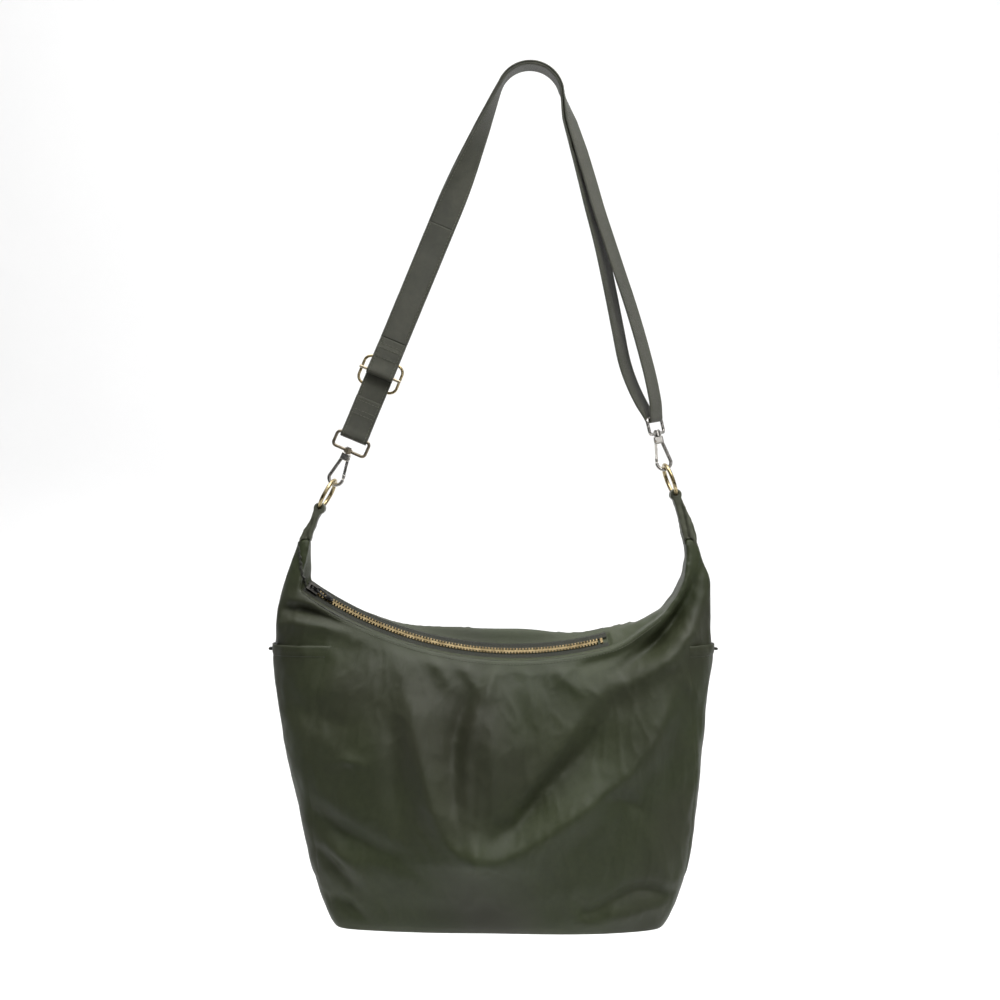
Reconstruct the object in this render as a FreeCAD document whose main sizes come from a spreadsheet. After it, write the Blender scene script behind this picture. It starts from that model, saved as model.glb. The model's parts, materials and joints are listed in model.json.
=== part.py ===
import FreeCAD, Part
import math
import os
import Sketcher
from FreeCAD import Vector as V, Rotation, Placement

# Crossbody purse, hanging by its shoulder strap.
# Millimetres. +X to the wearer's right of the front, +Y towards the back, +Z up.
# Origin: the underside of the strap at the top of its arch, where it rests on a peg.

doc = FreeCAD.newDocument("crossbody_purse")
sheet = doc.addObject("Spreadsheet::Sheet", "dims")

CELLS = [
    # strap
    ("strap_width", 25.0), ("strap_thick", 1.8), ("strap_offset", 1.0), ("arch_radius", 29.0),
    # swivel hooks
    ("eye_width", 33.8), ("eye_height", 16.6), ("eye_wire", 2.8), ("eye_corner", 4.6),
    ("boss_radius", 3.3), ("boss_len", 4.6), ("post_radius", 1.5), ("post_clear", 0.08),
    ("post_len", 7.2), ("head_radius", 2.5), ("head_len", 0.9),
    ("bow_radius", 6.3), ("bow_wire", 1.6), ("neck_wide", 8.4), ("neck_deep", 5.2), ("neck_tall", 7.0),
    ("gate_wide", 2.5), ("gate_deep", 2.2), ("gate_len", 18.2), ("gate_hub", 1.8),
    ("gate_pin_radius", 0.7), ("gate_pin_len", 5.2), ("spring_radius", 1.15), ("spring_wire", 0.3),
    # rings
    ("ring_radius", 14.2), ("ring_wire", 1.75), ("tab_width", 14.0), ("tab_radius", 5.2),
    # strap adjuster
    ("glide_width", 39.0), ("glide_height", 28.5), ("glide_wire", 2.5), ("glide_corner", 8.0),
    ("glide_bar", 1.3), ("glide_bar_len", 39.4), ("glide_post", 1.5),
    # zip
    ("zip_radius", 325.0), ("zip_tilt", 40.0), ("tape_thick", 0.8), ("teeth_pitch", 2.8),
    ("slider_len", 11.0), ("slider_wide", 9.6), ("slider_tall", 6.0), ("pull_len", 20.0),
    ("pull_wide", 7.0), ("pull_thick", 1.3),
    # bag
    ("panel_thick", 1.6), ("lining_thick", 0.7), ("base_thick", 3.0),
]
for i, (alias, value) in enumerate(CELLS):
    sheet.set("A%d" % (i + 1), alias)
    sheet.set("B%d" % (i + 1), str(value))
    sheet.setAlias("B%d" % (i + 1), alias)
doc.recompute()
D = {alias: float(sheet.get(alias)) for alias, value in CELLS}

PARTS = []


def keep(obj, label):
    obj.Label = label
    PARTS.append((obj, label))
    return obj


def feature(label, shape):
    obj = doc.addObject("Part::Feature", label)
    obj.Shape = shape
    return keep(obj, label)


def prim(kind, name, place=None, **sizes):
    """A Part primitive whose sizes are bound to the sheet."""
    obj = doc.addObject("Part::" + kind, name)
    for prop, value in sizes.items():
        if isinstance(value, str):
            obj.setExpression(prop, value)
        else:
            setattr(obj, prop, value)
    if place is not None:
        obj.Placement = place
    return obj


def fuse(name, *objs):
    obj = doc.addObject("Part::MultiFuse", name)
    obj.Shapes = list(objs)
    obj.Refine = True
    return obj


def cut(name, base, tool):
    obj = doc.addObject("Part::Cut", name)
    obj.Base, obj.Tool = base, tool
    obj.Refine = True
    return obj


def fillet_all(name, base, radius, chosen=None):
    doc.recompute()
    obj = doc.addObject("Part::Fillet", name)
    obj.Base = base
    obj.Edges = [(i + 1, radius, radius) for i, e in enumerate(base.Shape.Edges) if chosen is None or chosen(e)]
    return obj


def frame_of(origin, x_axis, z_axis):
    """Placement whose local X and Z axes point along the two given directions."""
    x = V(x_axis).normalize()
    z = V(z_axis).normalize()
    y = z.cross(x).normalize()
    return Placement(V(origin), Rotation(x, y, z, "XYZ"))


def rad(a):
    return math.radians(a)


def lerp(a, b, k):
    return a + (b - a) * k


# ---------------------------------------------------------------- main lines
Y = V(0, 1, 0)
ARCH = V(0, 0, -(D["arch_radius"] - D["strap_offset"] - D["strap_thick"] / 2))  # arch centre; its underside is at the origin
BAR_L = V(-158.1, 0, -332.3)   # left hook's strap bar
BAR_R = V(111.3, 0, -315.9)    # right hook's strap bar
LEG_TILT = 22.51               # left strap leg, from vertical
E_L = V(-math.sin(rad(LEG_TILT)), 0, -math.cos(rad(LEG_TILT)))   # down the left leg
L_L = V(math.cos(rad(LEG_TILT)), 0, -math.sin(rad(LEG_TILT)))    # across the left leg
LEG_LEN = 343.1
RIGHT_TILT = 15.4
L_R = V(math.cos(rad(RIGHT_TILT)), 0, math.sin(rad(RIGHT_TILT)))
HOOK_TILT_L, HOOK_TILT_R = 24.0, -13.0
TWIST_R = 30.0                 # the right leg's width direction, turned from +Y towards +X
RING_TILT_L, RING_TILT_R = 28.2, -20.0


def down(tilt):
    return V(-math.sin(rad(tilt)), 0, -math.cos(rad(tilt)))


def band(sections, width=None, thick=None):
    """Solid webbing through (centre, width direction, face direction) sections."""
    width = width or D["strap_width"]
    thick = thick or D["strap_thick"]
    wires = []
    for c, w, n in sections:
        w, n = V(w).normalize() * (width / 2), V(n).normalize() * (thick / 2)
        p = [c - w - n, c + w - n, c + w + n, c - w + n]
        wires.append(Part.makePolygon(p + [p[0]]))
    return Part.makeLoft(wires, True, True)


def leg(s, offset, phi):
    """A point s mm below the left hook's bar (negative is up the leg), offset towards the leg's back face."""
    w = L_L * math.sin(rad(phi)) + Y * math.cos(rad(phi))
    back = L_L * -math.cos(rad(phi)) + Y * math.sin(rad(phi))
    return BAR_L + E_L * s + back * offset, w, back


def twist_left(s):
    """Face-on up to 197 mm above the bar, then it turns edge-on by the arch."""
    steps = [(-343.1, 0), (-318, 14), (-300, 25), (-280, 36), (-260, 50), (-238, 66), (-215, 82), (-197, 90), (0, 90)]
    for (s0, a0), (s1, a1) in zip(steps, steps[1:]):
        if s0 <= s <= s1:
            return lerp(a0, a1, (s - s0) / (s1 - s0))
    return 90 if s > 0 else 0


OFF = D["strap_offset"]
FOLD = D["eye_wire"] / 2 + 0.5 + D["strap_thick"] / 2


def flip(section):
    c, w, n = section
    return c, w, n * -1


RIGHT_RUN = [  # z, x of the outer layer, x of the inner layer
    (-47.2, 37.3, 34.2), (-74.2, 46.0, 42.0), (-101.2, 54.2, 48.8), (-128.2, 62.1, 55.4), (-155.2, 71.0, 62.4),
    (-182.2, 79.9, 68.4), (-209.2, 88.9, 73.9), (-236.2, 97.2, 79.2), (-263.2, 104.6, 84.6), (-276.7, 108.0, 88.7),
    (-290.2, 110.9, 94.2), (-303.7, 113.2, 101.0),
]


def right(z, x, outer):
    phi = min(TWIST_R, TWIST_R * (-z - 12) / 42.0)
    n = L_R * math.cos(rad(phi)) - Y * math.sin(rad(phi))
    w = L_R * math.sin(rad(phi)) + Y * math.cos(rad(phi))
    return V(x, 0, z), w, n if outer else n * -1


def arch_sections(radius, first, last, count, outer):
    out = []
    for i in range(count):
        a = rad(lerp(first, last, i / (count - 1)))
        n = V(math.cos(a), 0, math.sin(a))
        out.append((ARCH + n * radius, Y, n if outer else n * -1))
    return out


# the webbing: flap at the left hook, round its bar, up the left leg, over the arch, down to the right hook,
# round that bar, back over the arch and down the left leg again
web = []
for s, off in ((-36, OFF), (-14, OFF), (-7, OFF + 0.6), (-3, FOLD - 0.25)):
    web.append(flip(leg(s, -off, 90)))
for b in range(0, 181, 30):   # round the left bar
    n = Y * -math.cos(rad(b)) + E_L * math.sin(rad(b))
    web.append((BAR_L + n * FOLD, L_L, n))
for s, off in ((-3, FOLD - 0.25), (-7, OFF + 0.6), (-14, OFF), (-60, OFF), (-120, OFF), (-197, OFF), (-215, OFF), (-238, OFF),
               (-260, OFF), (-280, OFF), (-300, OFF), (-318, OFF)):
    web.append(leg(s, off, twist_left(s)))
web += arch_sections(D["arch_radius"] + OFF, 180 - LEG_TILT, RIGHT_TILT, 13, True)
for z, xo, xi in RIGHT_RUN:
    web.append(right(z, xo, True))
P_R = down(HOOK_TILT_R)
N_R0 = V(math.cos(rad(HOOK_TILT_R)), 0, -math.sin(rad(HOOK_TILT_R)))
N_R = N_R0 * math.cos(rad(TWIST_R)) - Y * math.sin(rad(TWIST_R))
T_R = N_R0 * math.sin(rad(TWIST_R)) + Y * math.cos(rad(TWIST_R))
for b in range(0, 181, 30):   # round the right bar
    n = N_R * math.cos(rad(b)) + P_R * math.sin(rad(b))
    web.append((BAR_R + n * FOLD, T_R, n))
for z, xo, xi in reversed(RIGHT_RUN):
    web.append(right(z, xi, False))
web += arch_sections(D["arch_radius"] - OFF, RIGHT_TILT, 180 - LEG_TILT, 13, False)
DEFORM_TOP = -205.0
for s in (-318, -300, -280, -260, -238, -215, DEFORM_TOP):
    web.append(flip(leg(s, -OFF, twist_left(s))))
feature("strap_webbing", band(web))

# the stretch of the upper run that shortens as the adjuster slides up
STUB_TOP = -93.0
feature("strap_adjusting_run", band([flip(leg(s, -OFF, twist_left(s))) for s in (DEFORM_TOP, -197, -150, STUB_TOP)]))

# the upper run's end, sewn round the adjuster's centre bar
GLIDE = -61.0
BAR_OFF = -(0.1 + D["strap_thick"] + 0.15 + D["glide_bar"])
LOOP_R = D["glide_bar"] + 0.15 + D["strap_thick"] / 2
TAIL = -(0.1 + D["strap_thick"] / 2)
loop = [flip(leg(s, o, 90)) for s, o in ((STUB_TOP, -OFF), (-87, -1.9), (-83, TAIL - D["strap_thick"] - 0.2), (-71, -4.0), (-65, -5.2))]
for b in range(0, 181, 30):
    n = Y * -math.cos(rad(b)) + E_L * math.sin(rad(b))
    c, w, _ = leg(GLIDE, BAR_OFF, 90)
    loop.append((c + n * LOOP_R, L_L, n))
loop.append(leg(-65, TAIL, 90))
loop.append(leg(-81, TAIL, 90))
feature("strap_sewn_end", band(loop))

# ---------------------------------------------------------------- strap adjuster
glide_at = frame_of(BAR_L + E_L * GLIDE, L_L, E_L * -1)
FRAME_Y = OFF + D["strap_thick"] / 2 + 0.2 + D["glide_wire"] / 2
body = doc.addObject("PartDesign::Body", "adjuster_body")
plane = [f for f in body.Origin.OriginFeatures if f.Role == "XZ_Plane"][0]


def rounded(sk, w, h, r, names):
    """A rounded rectangle in a sketch, its width, height and corner held by constraints bound to the sheet."""
    a, b = w / 2, h / 2
    g = []
    pts = [((-a + r, -b), (a - r, -b)), ((a, -b + r), (a, b - r)), ((a - r, b), (-a + r, b)), ((-a, b - r), (-a, -b + r))]
    cen = [((a - r, -b + r), 270, 360), ((a - r, b - r), 0, 90), ((-a + r, b - r), 90, 180), ((-a + r, -b + r), 180, 270)]
    for p, q in pts:
        g.append(sk.addGeometry(Part.LineSegment(V(*p, 0), V(*q, 0)), False))
    arcs = []
    for c, s, e in cen:
        arcs.append(sk.addGeometry(Part.ArcOfCircle(Part.Circle(V(*c, 0), V(0, 0, 1), r), rad(s), rad(e)), False))
    C = Sketcher.Constraint
    for i in range(4):
        sk.addConstraint(C("Tangent", g[i], 2, arcs[i], 1))
        sk.addConstraint(C("Tangent", arcs[i], 2, g[(i + 1) % 4], 1))
    sk.addConstraint(C("Horizontal", g[0]))
    sk.addConstraint(C("Vertical", g[1]))
    sk.addConstraint(C("Equal", arcs[0], arcs[1]))
    sk.addConstraint(C("Equal", arcs[0], arcs[2]))
    sk.addConstraint(C("Equal", arcs[0], arcs[3]))
    sk.addConstraint(C("Symmetric", g[0], 1, g[2], 1, -1, 1))
    i = sk.addConstraint(C("DistanceX", g[3], 1, g[1], 1, w))
    sk.setExpression("Constraints[%d]" % i, names[0])
    i = sk.addConstraint(C("DistanceY", g[0], 1, g[2], 1, h))
    sk.setExpression("Constraints[%d]" % i, names[1])
    i = sk.addConstraint(C("Radius", arcs[0], r))
    sk.setExpression("Constraints[%d]" % i, names[2])


def ring_body(name, w, h, r, wire, round_to):
    """A flat rounded-rectangle wire frame, as a PartDesign body: a padded ring with its edges rounded."""
    b = doc.addObject("PartDesign::Body", name)
    sk = b.newObject("Sketcher::SketchObject", name + "_outline")
    base = [f for f in b.Origin.OriginFeatures if f.Role == "XZ_Plane"][0]
    sk.AttachmentSupport = [(base, "")]
    sk.MapMode = "FlatFace"
    rounded(sk, D[w], D[h], D[r], ("dims.%s" % w, "dims.%s" % h, "dims.%s" % r))
    rounded(sk, D[w] - 2 * D[wire], D[h] - 2 * D[wire], D[r] - D[wire],
            ("dims.%s - 2 * dims.%s" % (w, wire), "dims.%s - 2 * dims.%s" % (h, wire), "dims.%s - dims.%s" % (r, wire)))
    pad = b.newObject("PartDesign::Pad", name + "_pad")
    pad.Profile = sk
    pad.setExpression("Length", "dims.%s" % wire)
    pad.Midplane = True
    doc.recompute()
    fil = b.newObject("PartDesign::Fillet", name + "_round")
    edges = ["Edge%d" % (i + 1) for i, e in enumerate(pad.Shape.Edges)
             if abs(e.BoundBox.YLength) < 1e-6]
    fil.Base = (pad, edges)
    fil.setExpression("Radius", "dims.%s * %g" % (wire, round_to))
    b.Tip = fil
    doc.recompute()
    return b


doc.removeObject(body.Name)
frame_body = ring_body("adjuster_frame_body", "glide_width", "glide_height", "glide_corner", "glide_wire", 0.44)
frame_body.Placement = Placement(glide_at.Base + Y * FRAME_Y, glide_at.Rotation)
keep(frame_body, "adjuster_frame")

half = (D["glide_width"] - D["glide_wire"]) / 2
POST = D["glide_post"]
bar = prim("Cylinder", "adjuster_bar_rod", Radius="dims.glide_bar", Height="dims.glide_bar_len")
bar.Placement = Placement(glide_at.multVec(V(-D["glide_bar_len"] / 2, BAR_OFF, 0)), glide_at.Rotation * Rotation(V(0, 1, 0), 90))
posts = []
for side in (-1, 1):
    p = prim("Cylinder", "adjuster_bar_post", Radius="dims.glide_post", Height=FRAME_Y - D["glide_wire"] / 2 - 0.02 - BAR_OFF + 0.4)
    p.Placement = Placement(glide_at.multVec(V(side * half, BAR_OFF - 0.4, 0)), glide_at.Rotation * Rotation(V(1, 0, 0), -90))
    posts.append(p)
keep(fuse("adjuster_bar", bar, *posts), "adjuster_centre_bar")

# ---------------------------------------------------------------- swivel hooks
SHANK_TOP = -11.0


def hook(side, bar_at, tilt, eye_turn, gate_side):
    """One swivel snap hook. Local axes: X across the hook, Y towards the back, -Z along its pull. The origin is its strap bar."""
    d = down(tilt)
    across = V(math.cos(rad(tilt)), 0, -math.sin(rad(tilt)))
    place = frame_of(bar_at, across, d * -1)
    turned = Placement(bar_at, Rotation(d * -1, eye_turn) * place.Rotation)

    def at(p, z_local=V(0, 0, 1), extra=None, base=place):
        """Placement at local point p with the primitive's Z axis along z_local."""
        rot = Rotation(V(0, 0, 1), V(z_local))
        return Placement(base.multVec(V(p)), base.Rotation * rot)

    # eye: rounded rectangular loop with a boss at its lower bar
    loop_mid = -(D["eye_height"] - D["eye_wire"]) / 2
    eye = ring_body(side + "_eye_loop", "eye_width", "eye_height", "eye_corner", "eye_wire", 0.44)
    eye.Placement = Placement(turned.multVec(V(0, 0, loop_mid)), turned.Rotation)
    low = -(D["eye_height"] - D["eye_wire"])
    boss = prim("Cylinder", side + "_eye_boss", at((0, 0, low - D["boss_len"] / 2), base=turned), Radius="dims.boss_radius", Height="dims.boss_len")
    bore = prim("Cylinder", side + "_eye_bore", at((0, 0, low - D["boss_len"] / 2 - 3), base=turned),
                Radius="dims.post_radius + dims.post_clear", Height="dims.boss_len + 6")
    keep(cut(side + "_eye_cut", fuse(side + "_eye_fuse", eye, boss), bore), side + "_swivel_eye")
    top = low + D["boss_len"] / 2      # the boss's upper face
    bottom = low - D["boss_len"] / 2   # its lower face
    # hook body: riveted post, neck block, bow
    head = prim("Cylinder", side + "_post_head", at((0, 0, top + 0.12)), Radius="dims.head_radius", Height="dims.head_len")
    post = prim("Cylinder", side + "_post", at((0, 0, bottom - 1.0)), Radius="dims.post_radius", Height=top + 0.3 - bottom + 1.0)
    g = gate_side
    neck_z = bottom - 0.12 - D["neck_tall"]
    neck = prim("Box", side + "_neck", Length="dims.neck_wide", Width="dims.neck_deep", Height="dims.neck_tall")
    neck.Placement = Placement(place.multVec(V(-D["neck_wide"] / 2, -D["neck_deep"] / 2, neck_z)), place.Rotation)
    neck_f = fillet_all(side + "_neck_round", neck, 1.1)
    arc_z = -40.6
    bow = prim("Torus", side + "_bow_arc", Radius1="dims.bow_radius", Radius2="dims.bow_wire", Angle3=188.0)
    # torus axis along local Y; the kept arc runs under the centre
    start = 180.0 if g > 0 else 172.0
    bow.Placement = Placement(place.multVec(V(0, 0, arc_z)), place.Rotation * Rotation(V(1, 0, 0), 90) * Rotation(V(0, 0, 1), start))
    x0, z0 = -g * 2.5, neck_z + 1.5
    x1, z1 = -g * D["bow_radius"], arc_z
    ln = math.hypot(x1 - x0, z1 - z0)
    side_rod = prim("Cylinder", side + "_bow_rod", at((x1, 0, z1), (x0 - x1, 0, z0 - z1)), Radius="dims.bow_wire", Height=ln)
    elbow = prim("Sphere", side + "_bow_elbow", at((x1, 0, z1)), Radius="dims.bow_wire")
    px, pz = g * 2.9, neck_z + 2.6     # gate pivot
    slot = prim("Box", side + "_gate_slot", Length=8.0, Width="dims.gate_deep + 0.3", Height=6.2)
    slot.Placement = Placement(place.multVec(V(g * 0.7 if g > 0 else -8.7, -(D["gate_deep"] + 0.3) / 2, pz - 3.9)), place.Rotation)
    pin_hole = prim("Cylinder", side + "_pin_hole", at((px, -5, pz), (0, 1, 0)), Radius="dims.gate_pin_radius + 0.01", Height=10.0)
    solid = fuse(side + "_hook_fuse", head, post, neck_f, bow, side_rod, elbow)
    keep(cut(side + "_hook_cut", cut(side + "_hook_slotted", solid, slot), pin_hole), side + "_hook_body")
    # gate: hub on the pin, straight lever to the nose
    tipx, tipz = g * (D["bow_radius"] - 0.2), arc_z + 2.05
    gl = math.hypot(tipx - px, tipz - pz)
    hub = prim("Cylinder", side + "_gate_hub_c", at((px, -D["gate_deep"] / 2, pz), (0, 1, 0)), Radius="dims.gate_hub", Height=1.3)
    lever = prim("Box", side + "_gate_lever", Length="dims.gate_wide", Width="dims.gate_deep", Height=gl)
    lr = Rotation(V(0, 0, 1), V(tipx - px, 0, tipz - pz))
    lever.Placement = Placement(place.multVec(V(px, 0, pz) + lr.multVec(V(-D["gate_wide"] / 2, -D["gate_deep"] / 2, 0))), place.Rotation * lr)
    relief = prim("Box", side + "_gate_relief", Length=9.0, Width=2.0, Height=7.0)
    relief.Placement = Placement(place.multVec(V(px - 4.5, -D["gate_deep"] / 2 + 1.3, pz - 2.0)), place.Rotation)
    hole = prim("Cylinder", side + "_gate_hole", at((px, -5, pz), (0, 1, 0)), Radius="dims.gate_pin_radius + 0.06", Height=10.0)
    keep(cut(side + "_gate_cut", cut(side + "_gate_relieved", fuse(side + "_gate_fuse", hub, lever), relief), hole), side + "_hook_gate")
    keep(prim("Cylinder", side + "_pin", at((px, -D["gate_pin_len"] / 2, pz), (0, 1, 0)), Radius="dims.gate_pin_radius", Height="dims.gate_pin_len"),
         side + "_gate_pin")
    sp = prim("Torus", side + "_spring", Radius1="dims.spring_radius", Radius2="dims.spring_wire")
    sp.Placement = Placement(place.multVec(V(px, 0.68, pz)), place.Rotation * Rotation(V(1, 0, 0), 90))
    keep(sp, side + "_gate_spring")
    return place, V(px, 0, pz), arc_z - D["bow_radius"]


place_l, gate_l, bow_l = hook("left", BAR_L, HOOK_TILT_L, 0.0, 1)
place_r, gate_r, bow_r = hook("right", BAR_R, HOOK_TILT_R, 90.0 - TWIST_R, -1)

# ---------------------------------------------------------------- rings
RING_GAP = 0.6
RINGS = {}
for side, place, bow_z, tilt, yaw in (("left", place_l, bow_l, RING_TILT_L, 5.0), ("right", place_r, bow_r, RING_TILT_R, -5.0)):
    low = place.multVec(V(0, 0, bow_z))
    top = place.multVec(V(0, 0, bow_z + D["bow_wire"] + D["ring_wire"] + RING_GAP))
    d = down(tilt)
    centre = top + d * D["ring_radius"]
    across = Y.cross(d)            # the ring's normal when its plane holds Y
    normal = Rotation(d, yaw).multVec(across)
    t = prim("Torus", side + "_ring_torus", Placement(centre, Rotation(V(0, 0, 1), normal)), Radius1="dims.ring_radius", Radius2="dims.ring_wire")
    keep(t, side + "_ring")
    RINGS[side] = (low, centre, d, normal)

# ---------------------------------------------------------------- bag form
XC = -33.8
FORM = [  # z, half width left, half width right, half depth at the sides, depth factor at the middle, squareness
    (-768.5, 131.0, 142.0, 44.0, 1.00, 4.6),
    (-764.5, 140.5, 151.5, 50.0, 1.00, 4.2),
    (-757.0, 147.0, 159.0, 54.0, 1.00, 3.7),
    (-745.0, 152.0, 165.0, 56.5, 1.02, 3.3),
    (-715.0, 161.0, 174.0, 58.0, 1.05, 3.0),
    (-680.0, 169.5, 180.0, 57.5, 1.08, 2.9),
    (-640.0, 179.0, 185.0, 55.0, 1.07, 2.8),
    (-600.0, 187.5, 189.5, 51.0, 1.02, 2.8),
    (-565.0, 193.0, 192.5, 45.5, 0.92, 2.8),
    (-540.0, 195.0, 195.0, 41.5, 0.72, 2.8),
    (-520.0, 195.5, 196.8, 38.5, 0.52, 2.8),
    (-500.0, 194.0, 196.8, 34.5, 0.43, 2.8),
    (-480.0, 191.5, 196.2, 31.0, 0.43, 2.8),
    (-460.0, 187.0, 195.0, 26.5, 0.46, 2.8),
    (-440.0, 179.8, 188.0, 22.5, 0.50, 2.8),
    (-424.0, 173.8, 183.2, 19.0, 0.55, 2.8),
]


def section(z, left, right, b, mid, n, t=0.0, count=44):
    pts = []
    for i in range(count):
        ang = 2 * math.pi * i / count
        c, s = math.cos(ang), math.sin(ang)
        u = math.copysign(abs(c) ** (2.0 / n), c)
        v = math.copysign(abs(s) ** (2.0 / n), s)
        k = mid + (1 - mid) * (1 - math.exp(-((abs(u) / 0.72) ** 5)))
        x, y = ((right if u > 0 else left) - t) * u, (b * k - t) * v
        pts.append(V(XC + x, y, z))
    curve = Part.BSplineCurve()
    curve.interpolate(pts, PeriodicFlag=True)
    return Part.Wire([curve.toShape()])


def form(t, lift=0.0):
    """The bag's closed outer form, or one t mm inside it, with its base lifted."""
    wires = []
    for i, (z, left, right, b, mid, n) in enumerate(FORM):
        wires.append(section(z + (lift if i == 0 else 0), left, right, b, mid, n, t))
    return Part.makeLoft(wires, True, False)


def slab(z0, z1):
    return Part.makeBox(900, 400, z1 - z0, V(-450, -200, z0))


def prism(points, y0=-200.0, y1=200.0):
    wire = Part.makePolygon([V(x, y0, z) for x, z in points] + [V(points[0][0], y0, points[0][1])])
    return Part.Face(wire).extrude(V(0, y1 - y0, 0))


ZIP_C = V(-13.5, 0, -200.2)
TAN = math.tan(rad(D["zip_tilt"]))


def cone(extra=0.0, y0=-70.0, y1=70.0):
    """The zip lies on this cone about Y: lower at the front, higher at the back."""
    return Part.makeCone(D["zip_radius"] + extra - y0 * TAN, D["zip_radius"] + extra - y1 * TAN, y1 - y0, V(ZIP_C.x, y0, ZIP_C.z), V(0, 1, 0))


def between(x, table, column):
    """Linear interpolation in a table of rows sorted by their first entry."""
    if x <= table[0][0]:
        return table[0][column]
    for lo, hi in zip(table, table[1:]):
        if x <= hi[0]:
            return lerp(lo[column], hi[column], (x - lo[0]) / (hi[0] - lo[0]))
    return table[-1][column]


STRIP = 6.5      # the zip's own half width, where its slope is the full tilt
MOUTH = [  # angle about the zip's centre, radius of the mouth's edge, share of the tilt on the strip, behind it, before it
    (-60.2, 201.1, 0.0, 0.0, 0.0), (-42.1, 269.1, 0.0, 0.0, 0.0), (-39.3, 290.6, 0.0, 0.0, 0.0), (-37.4, 305.2, 0.4, -0.15, 0.0),
    (-36.0, 319.0, 1.0, -0.35, 0.0), (-35.3, 325.0, 1.0, -0.35, 0.02), (-28.0, 325.0, 1.0, -0.33, 0.05), (-26.0, 325.0, 1.0, -0.26, 0.05), (-23.0, 325.0, 1.0, 0.0, 0.05),
    (-19.8, 325.0, 1.0, 0.15, 0.05), (-14.5, 325.0, 1.0, 0.27, 0.05), (-8.0, 325.0, 1.0, 0.62, 0.05), (1.0, 325.0, 1.0, 0.83, 0.05),
    (7.2, 325.0, 1.0, 0.66, 0.05), (12.3, 325.0, 1.0, 0.57, 0.05), (15.5, 325.0, 1.0, 0.50, 0.05), (17.5, 324.2, 0.8, 0.40, 0.04), (19.3, 322.4, 0.6, 0.22, 0.03),
    (21.9, 319.9, 0.35, -0.08, 0.0), (24.7, 316.8, 0.15, -0.06, 0.0), (27.7, 309.2, 0.0, 0.0, 0.0),
    (30.3, 298.6, 0.0, 0.0, 0.0), (32.7, 284.6, 0.0, 0.0, 0.0), (34.1, 271.6, 0.0, 0.0, 0.0), (36.7, 249.5, 0.0, 0.0, 0.0), (55.2, 174.7, 0.0, 0.0, 0.0),
]


def mouth_space(extra=0.0):
    """The space above the bag's mouth: the zip's cone between the wings, straight up beside them."""
    angles = sorted(set([row[0] for row in MOUTH] + [float(k) for k in range(-35, 16)]))
    wires = []
    for y in (-70.0, -STRIP, STRIP, 70.0):
        pts = []
        for a in angles:
            r = between(a, MOUTH, 1) + extra
            strip = max(-STRIP, min(STRIP, y))
            r -= TAN * (strip * between(a, MOUTH, 2) + (y - strip) * between(a, MOUTH, 3 if y > 0 else 4))
            pts.append(V(ZIP_C.x + r * math.sin(rad(a)), y, ZIP_C.z - r * math.cos(rad(a))))
        wires.append(Part.makePolygon(pts + [pts[0]]))
    return Part.makeLoft(wires, True, True)


def polar(r, a, y=0.0):
    """A point at angle a from straight down about the zip's centre, positive to the right."""
    return V(ZIP_C.x + r * math.sin(rad(a)), y, ZIP_C.z - r * math.cos(rad(a)))


scoop = mouth_space()
WING_Z = -478.0
outer = form(0.0)
inner = form(D["panel_thick"], D["base_thick"])
whole = outer.cut(scoop)
lower = whole.common(slab(-900, WING_Z))
shell = lower.cut(inner)
base = shell.common(slab(-900, FORM[0][0] + D["base_thick"]))
walls = shell.common(slab(FORM[0][0] + D["base_thick"] + 0.0, WING_Z))
GUSSET = 40.0
gl_box = Part.makeBox(70.0, 2 * GUSSET, 900, V(-250.0, -GUSSET, -900))
gr_box = Part.makeBox(70.0, 2 * GUSSET, 900, V(112.5, -GUSSET, -900))
left_side = walls.common(gl_box)
right_side = walls.common(gr_box)
rest = walls.cut(gl_box).cut(gr_box)
front = rest.common(Part.makeBox(900, 200, 900, V(-450, -200, -900)))
back = rest.common(Part.makeBox(900, 200, 900, V(-450, 0, -900)))


def biggest(shape):
    return sorted(shape.Solids, key=lambda s: -s.Volume)[0]


feature("base_panel", biggest(base))
feature("front_panel", biggest(front))
feature("back_panel", biggest(back))
feature("left_gusset", biggest(left_side))
feature("right_gusset", biggest(right_side))
under_zip = inner.common(slab(-900, -452)).cut(cone(-1.5))
upper = whole.cut(under_zip).common(slab(WING_Z, -300))
lw = [s for s in upper.Solids if s.CenterOfMass.x < XC]
rw = [s for s in upper.Solids if s.CenterOfMass.x > XC]


def sector(a0, a1, r=420.0):
    """A wedge about the zip's centre, between two angles from straight down."""
    pts = [V(ZIP_C.x, -100, ZIP_C.z)] + [polar(r, lerp(a0, a1, i / 6.0), -100) for i in range(7)]
    return Part.Face(Part.makePolygon(pts + [pts[0]])).extrude(V(0, 200, 0))


A0, A1 = -34.9, 13.6        # the teeth's ends, degrees about the zip's centre
TAPE, GAP = D["tape_thick"], 0.15
tape_room = mouth_space(2 * GAP + TAPE).common(sector(A0 - 0.6, A1 + 1.4)).common(form(D["panel_thick"] + 0.02)).common(slab(-900, -300))
wing_l = biggest(sorted(lw, key=lambda s: -s.Volume)[0].cut(tape_room))
wing_r = biggest(sorted(rw, key=lambda s: -s.Volume)[0].cut(tape_room))
feature("left_wing", wing_l)
feature("right_wing", wing_r)

# lining: a thin bag inside the panels, open under the zip
lin_out = form(D["panel_thick"] + 0.25, D["base_thick"] + 0.25)
lin_in = form(D["panel_thick"] + 0.25 + D["lining_thick"], D["base_thick"] + 0.25 + D["lining_thick"])
low_scoop = mouth_space(2.2)
lining = lin_out.cut(lin_in).cut(low_scoop).common(slab(-900, WING_Z - 6))
feature("lining", biggest(lining))

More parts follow.
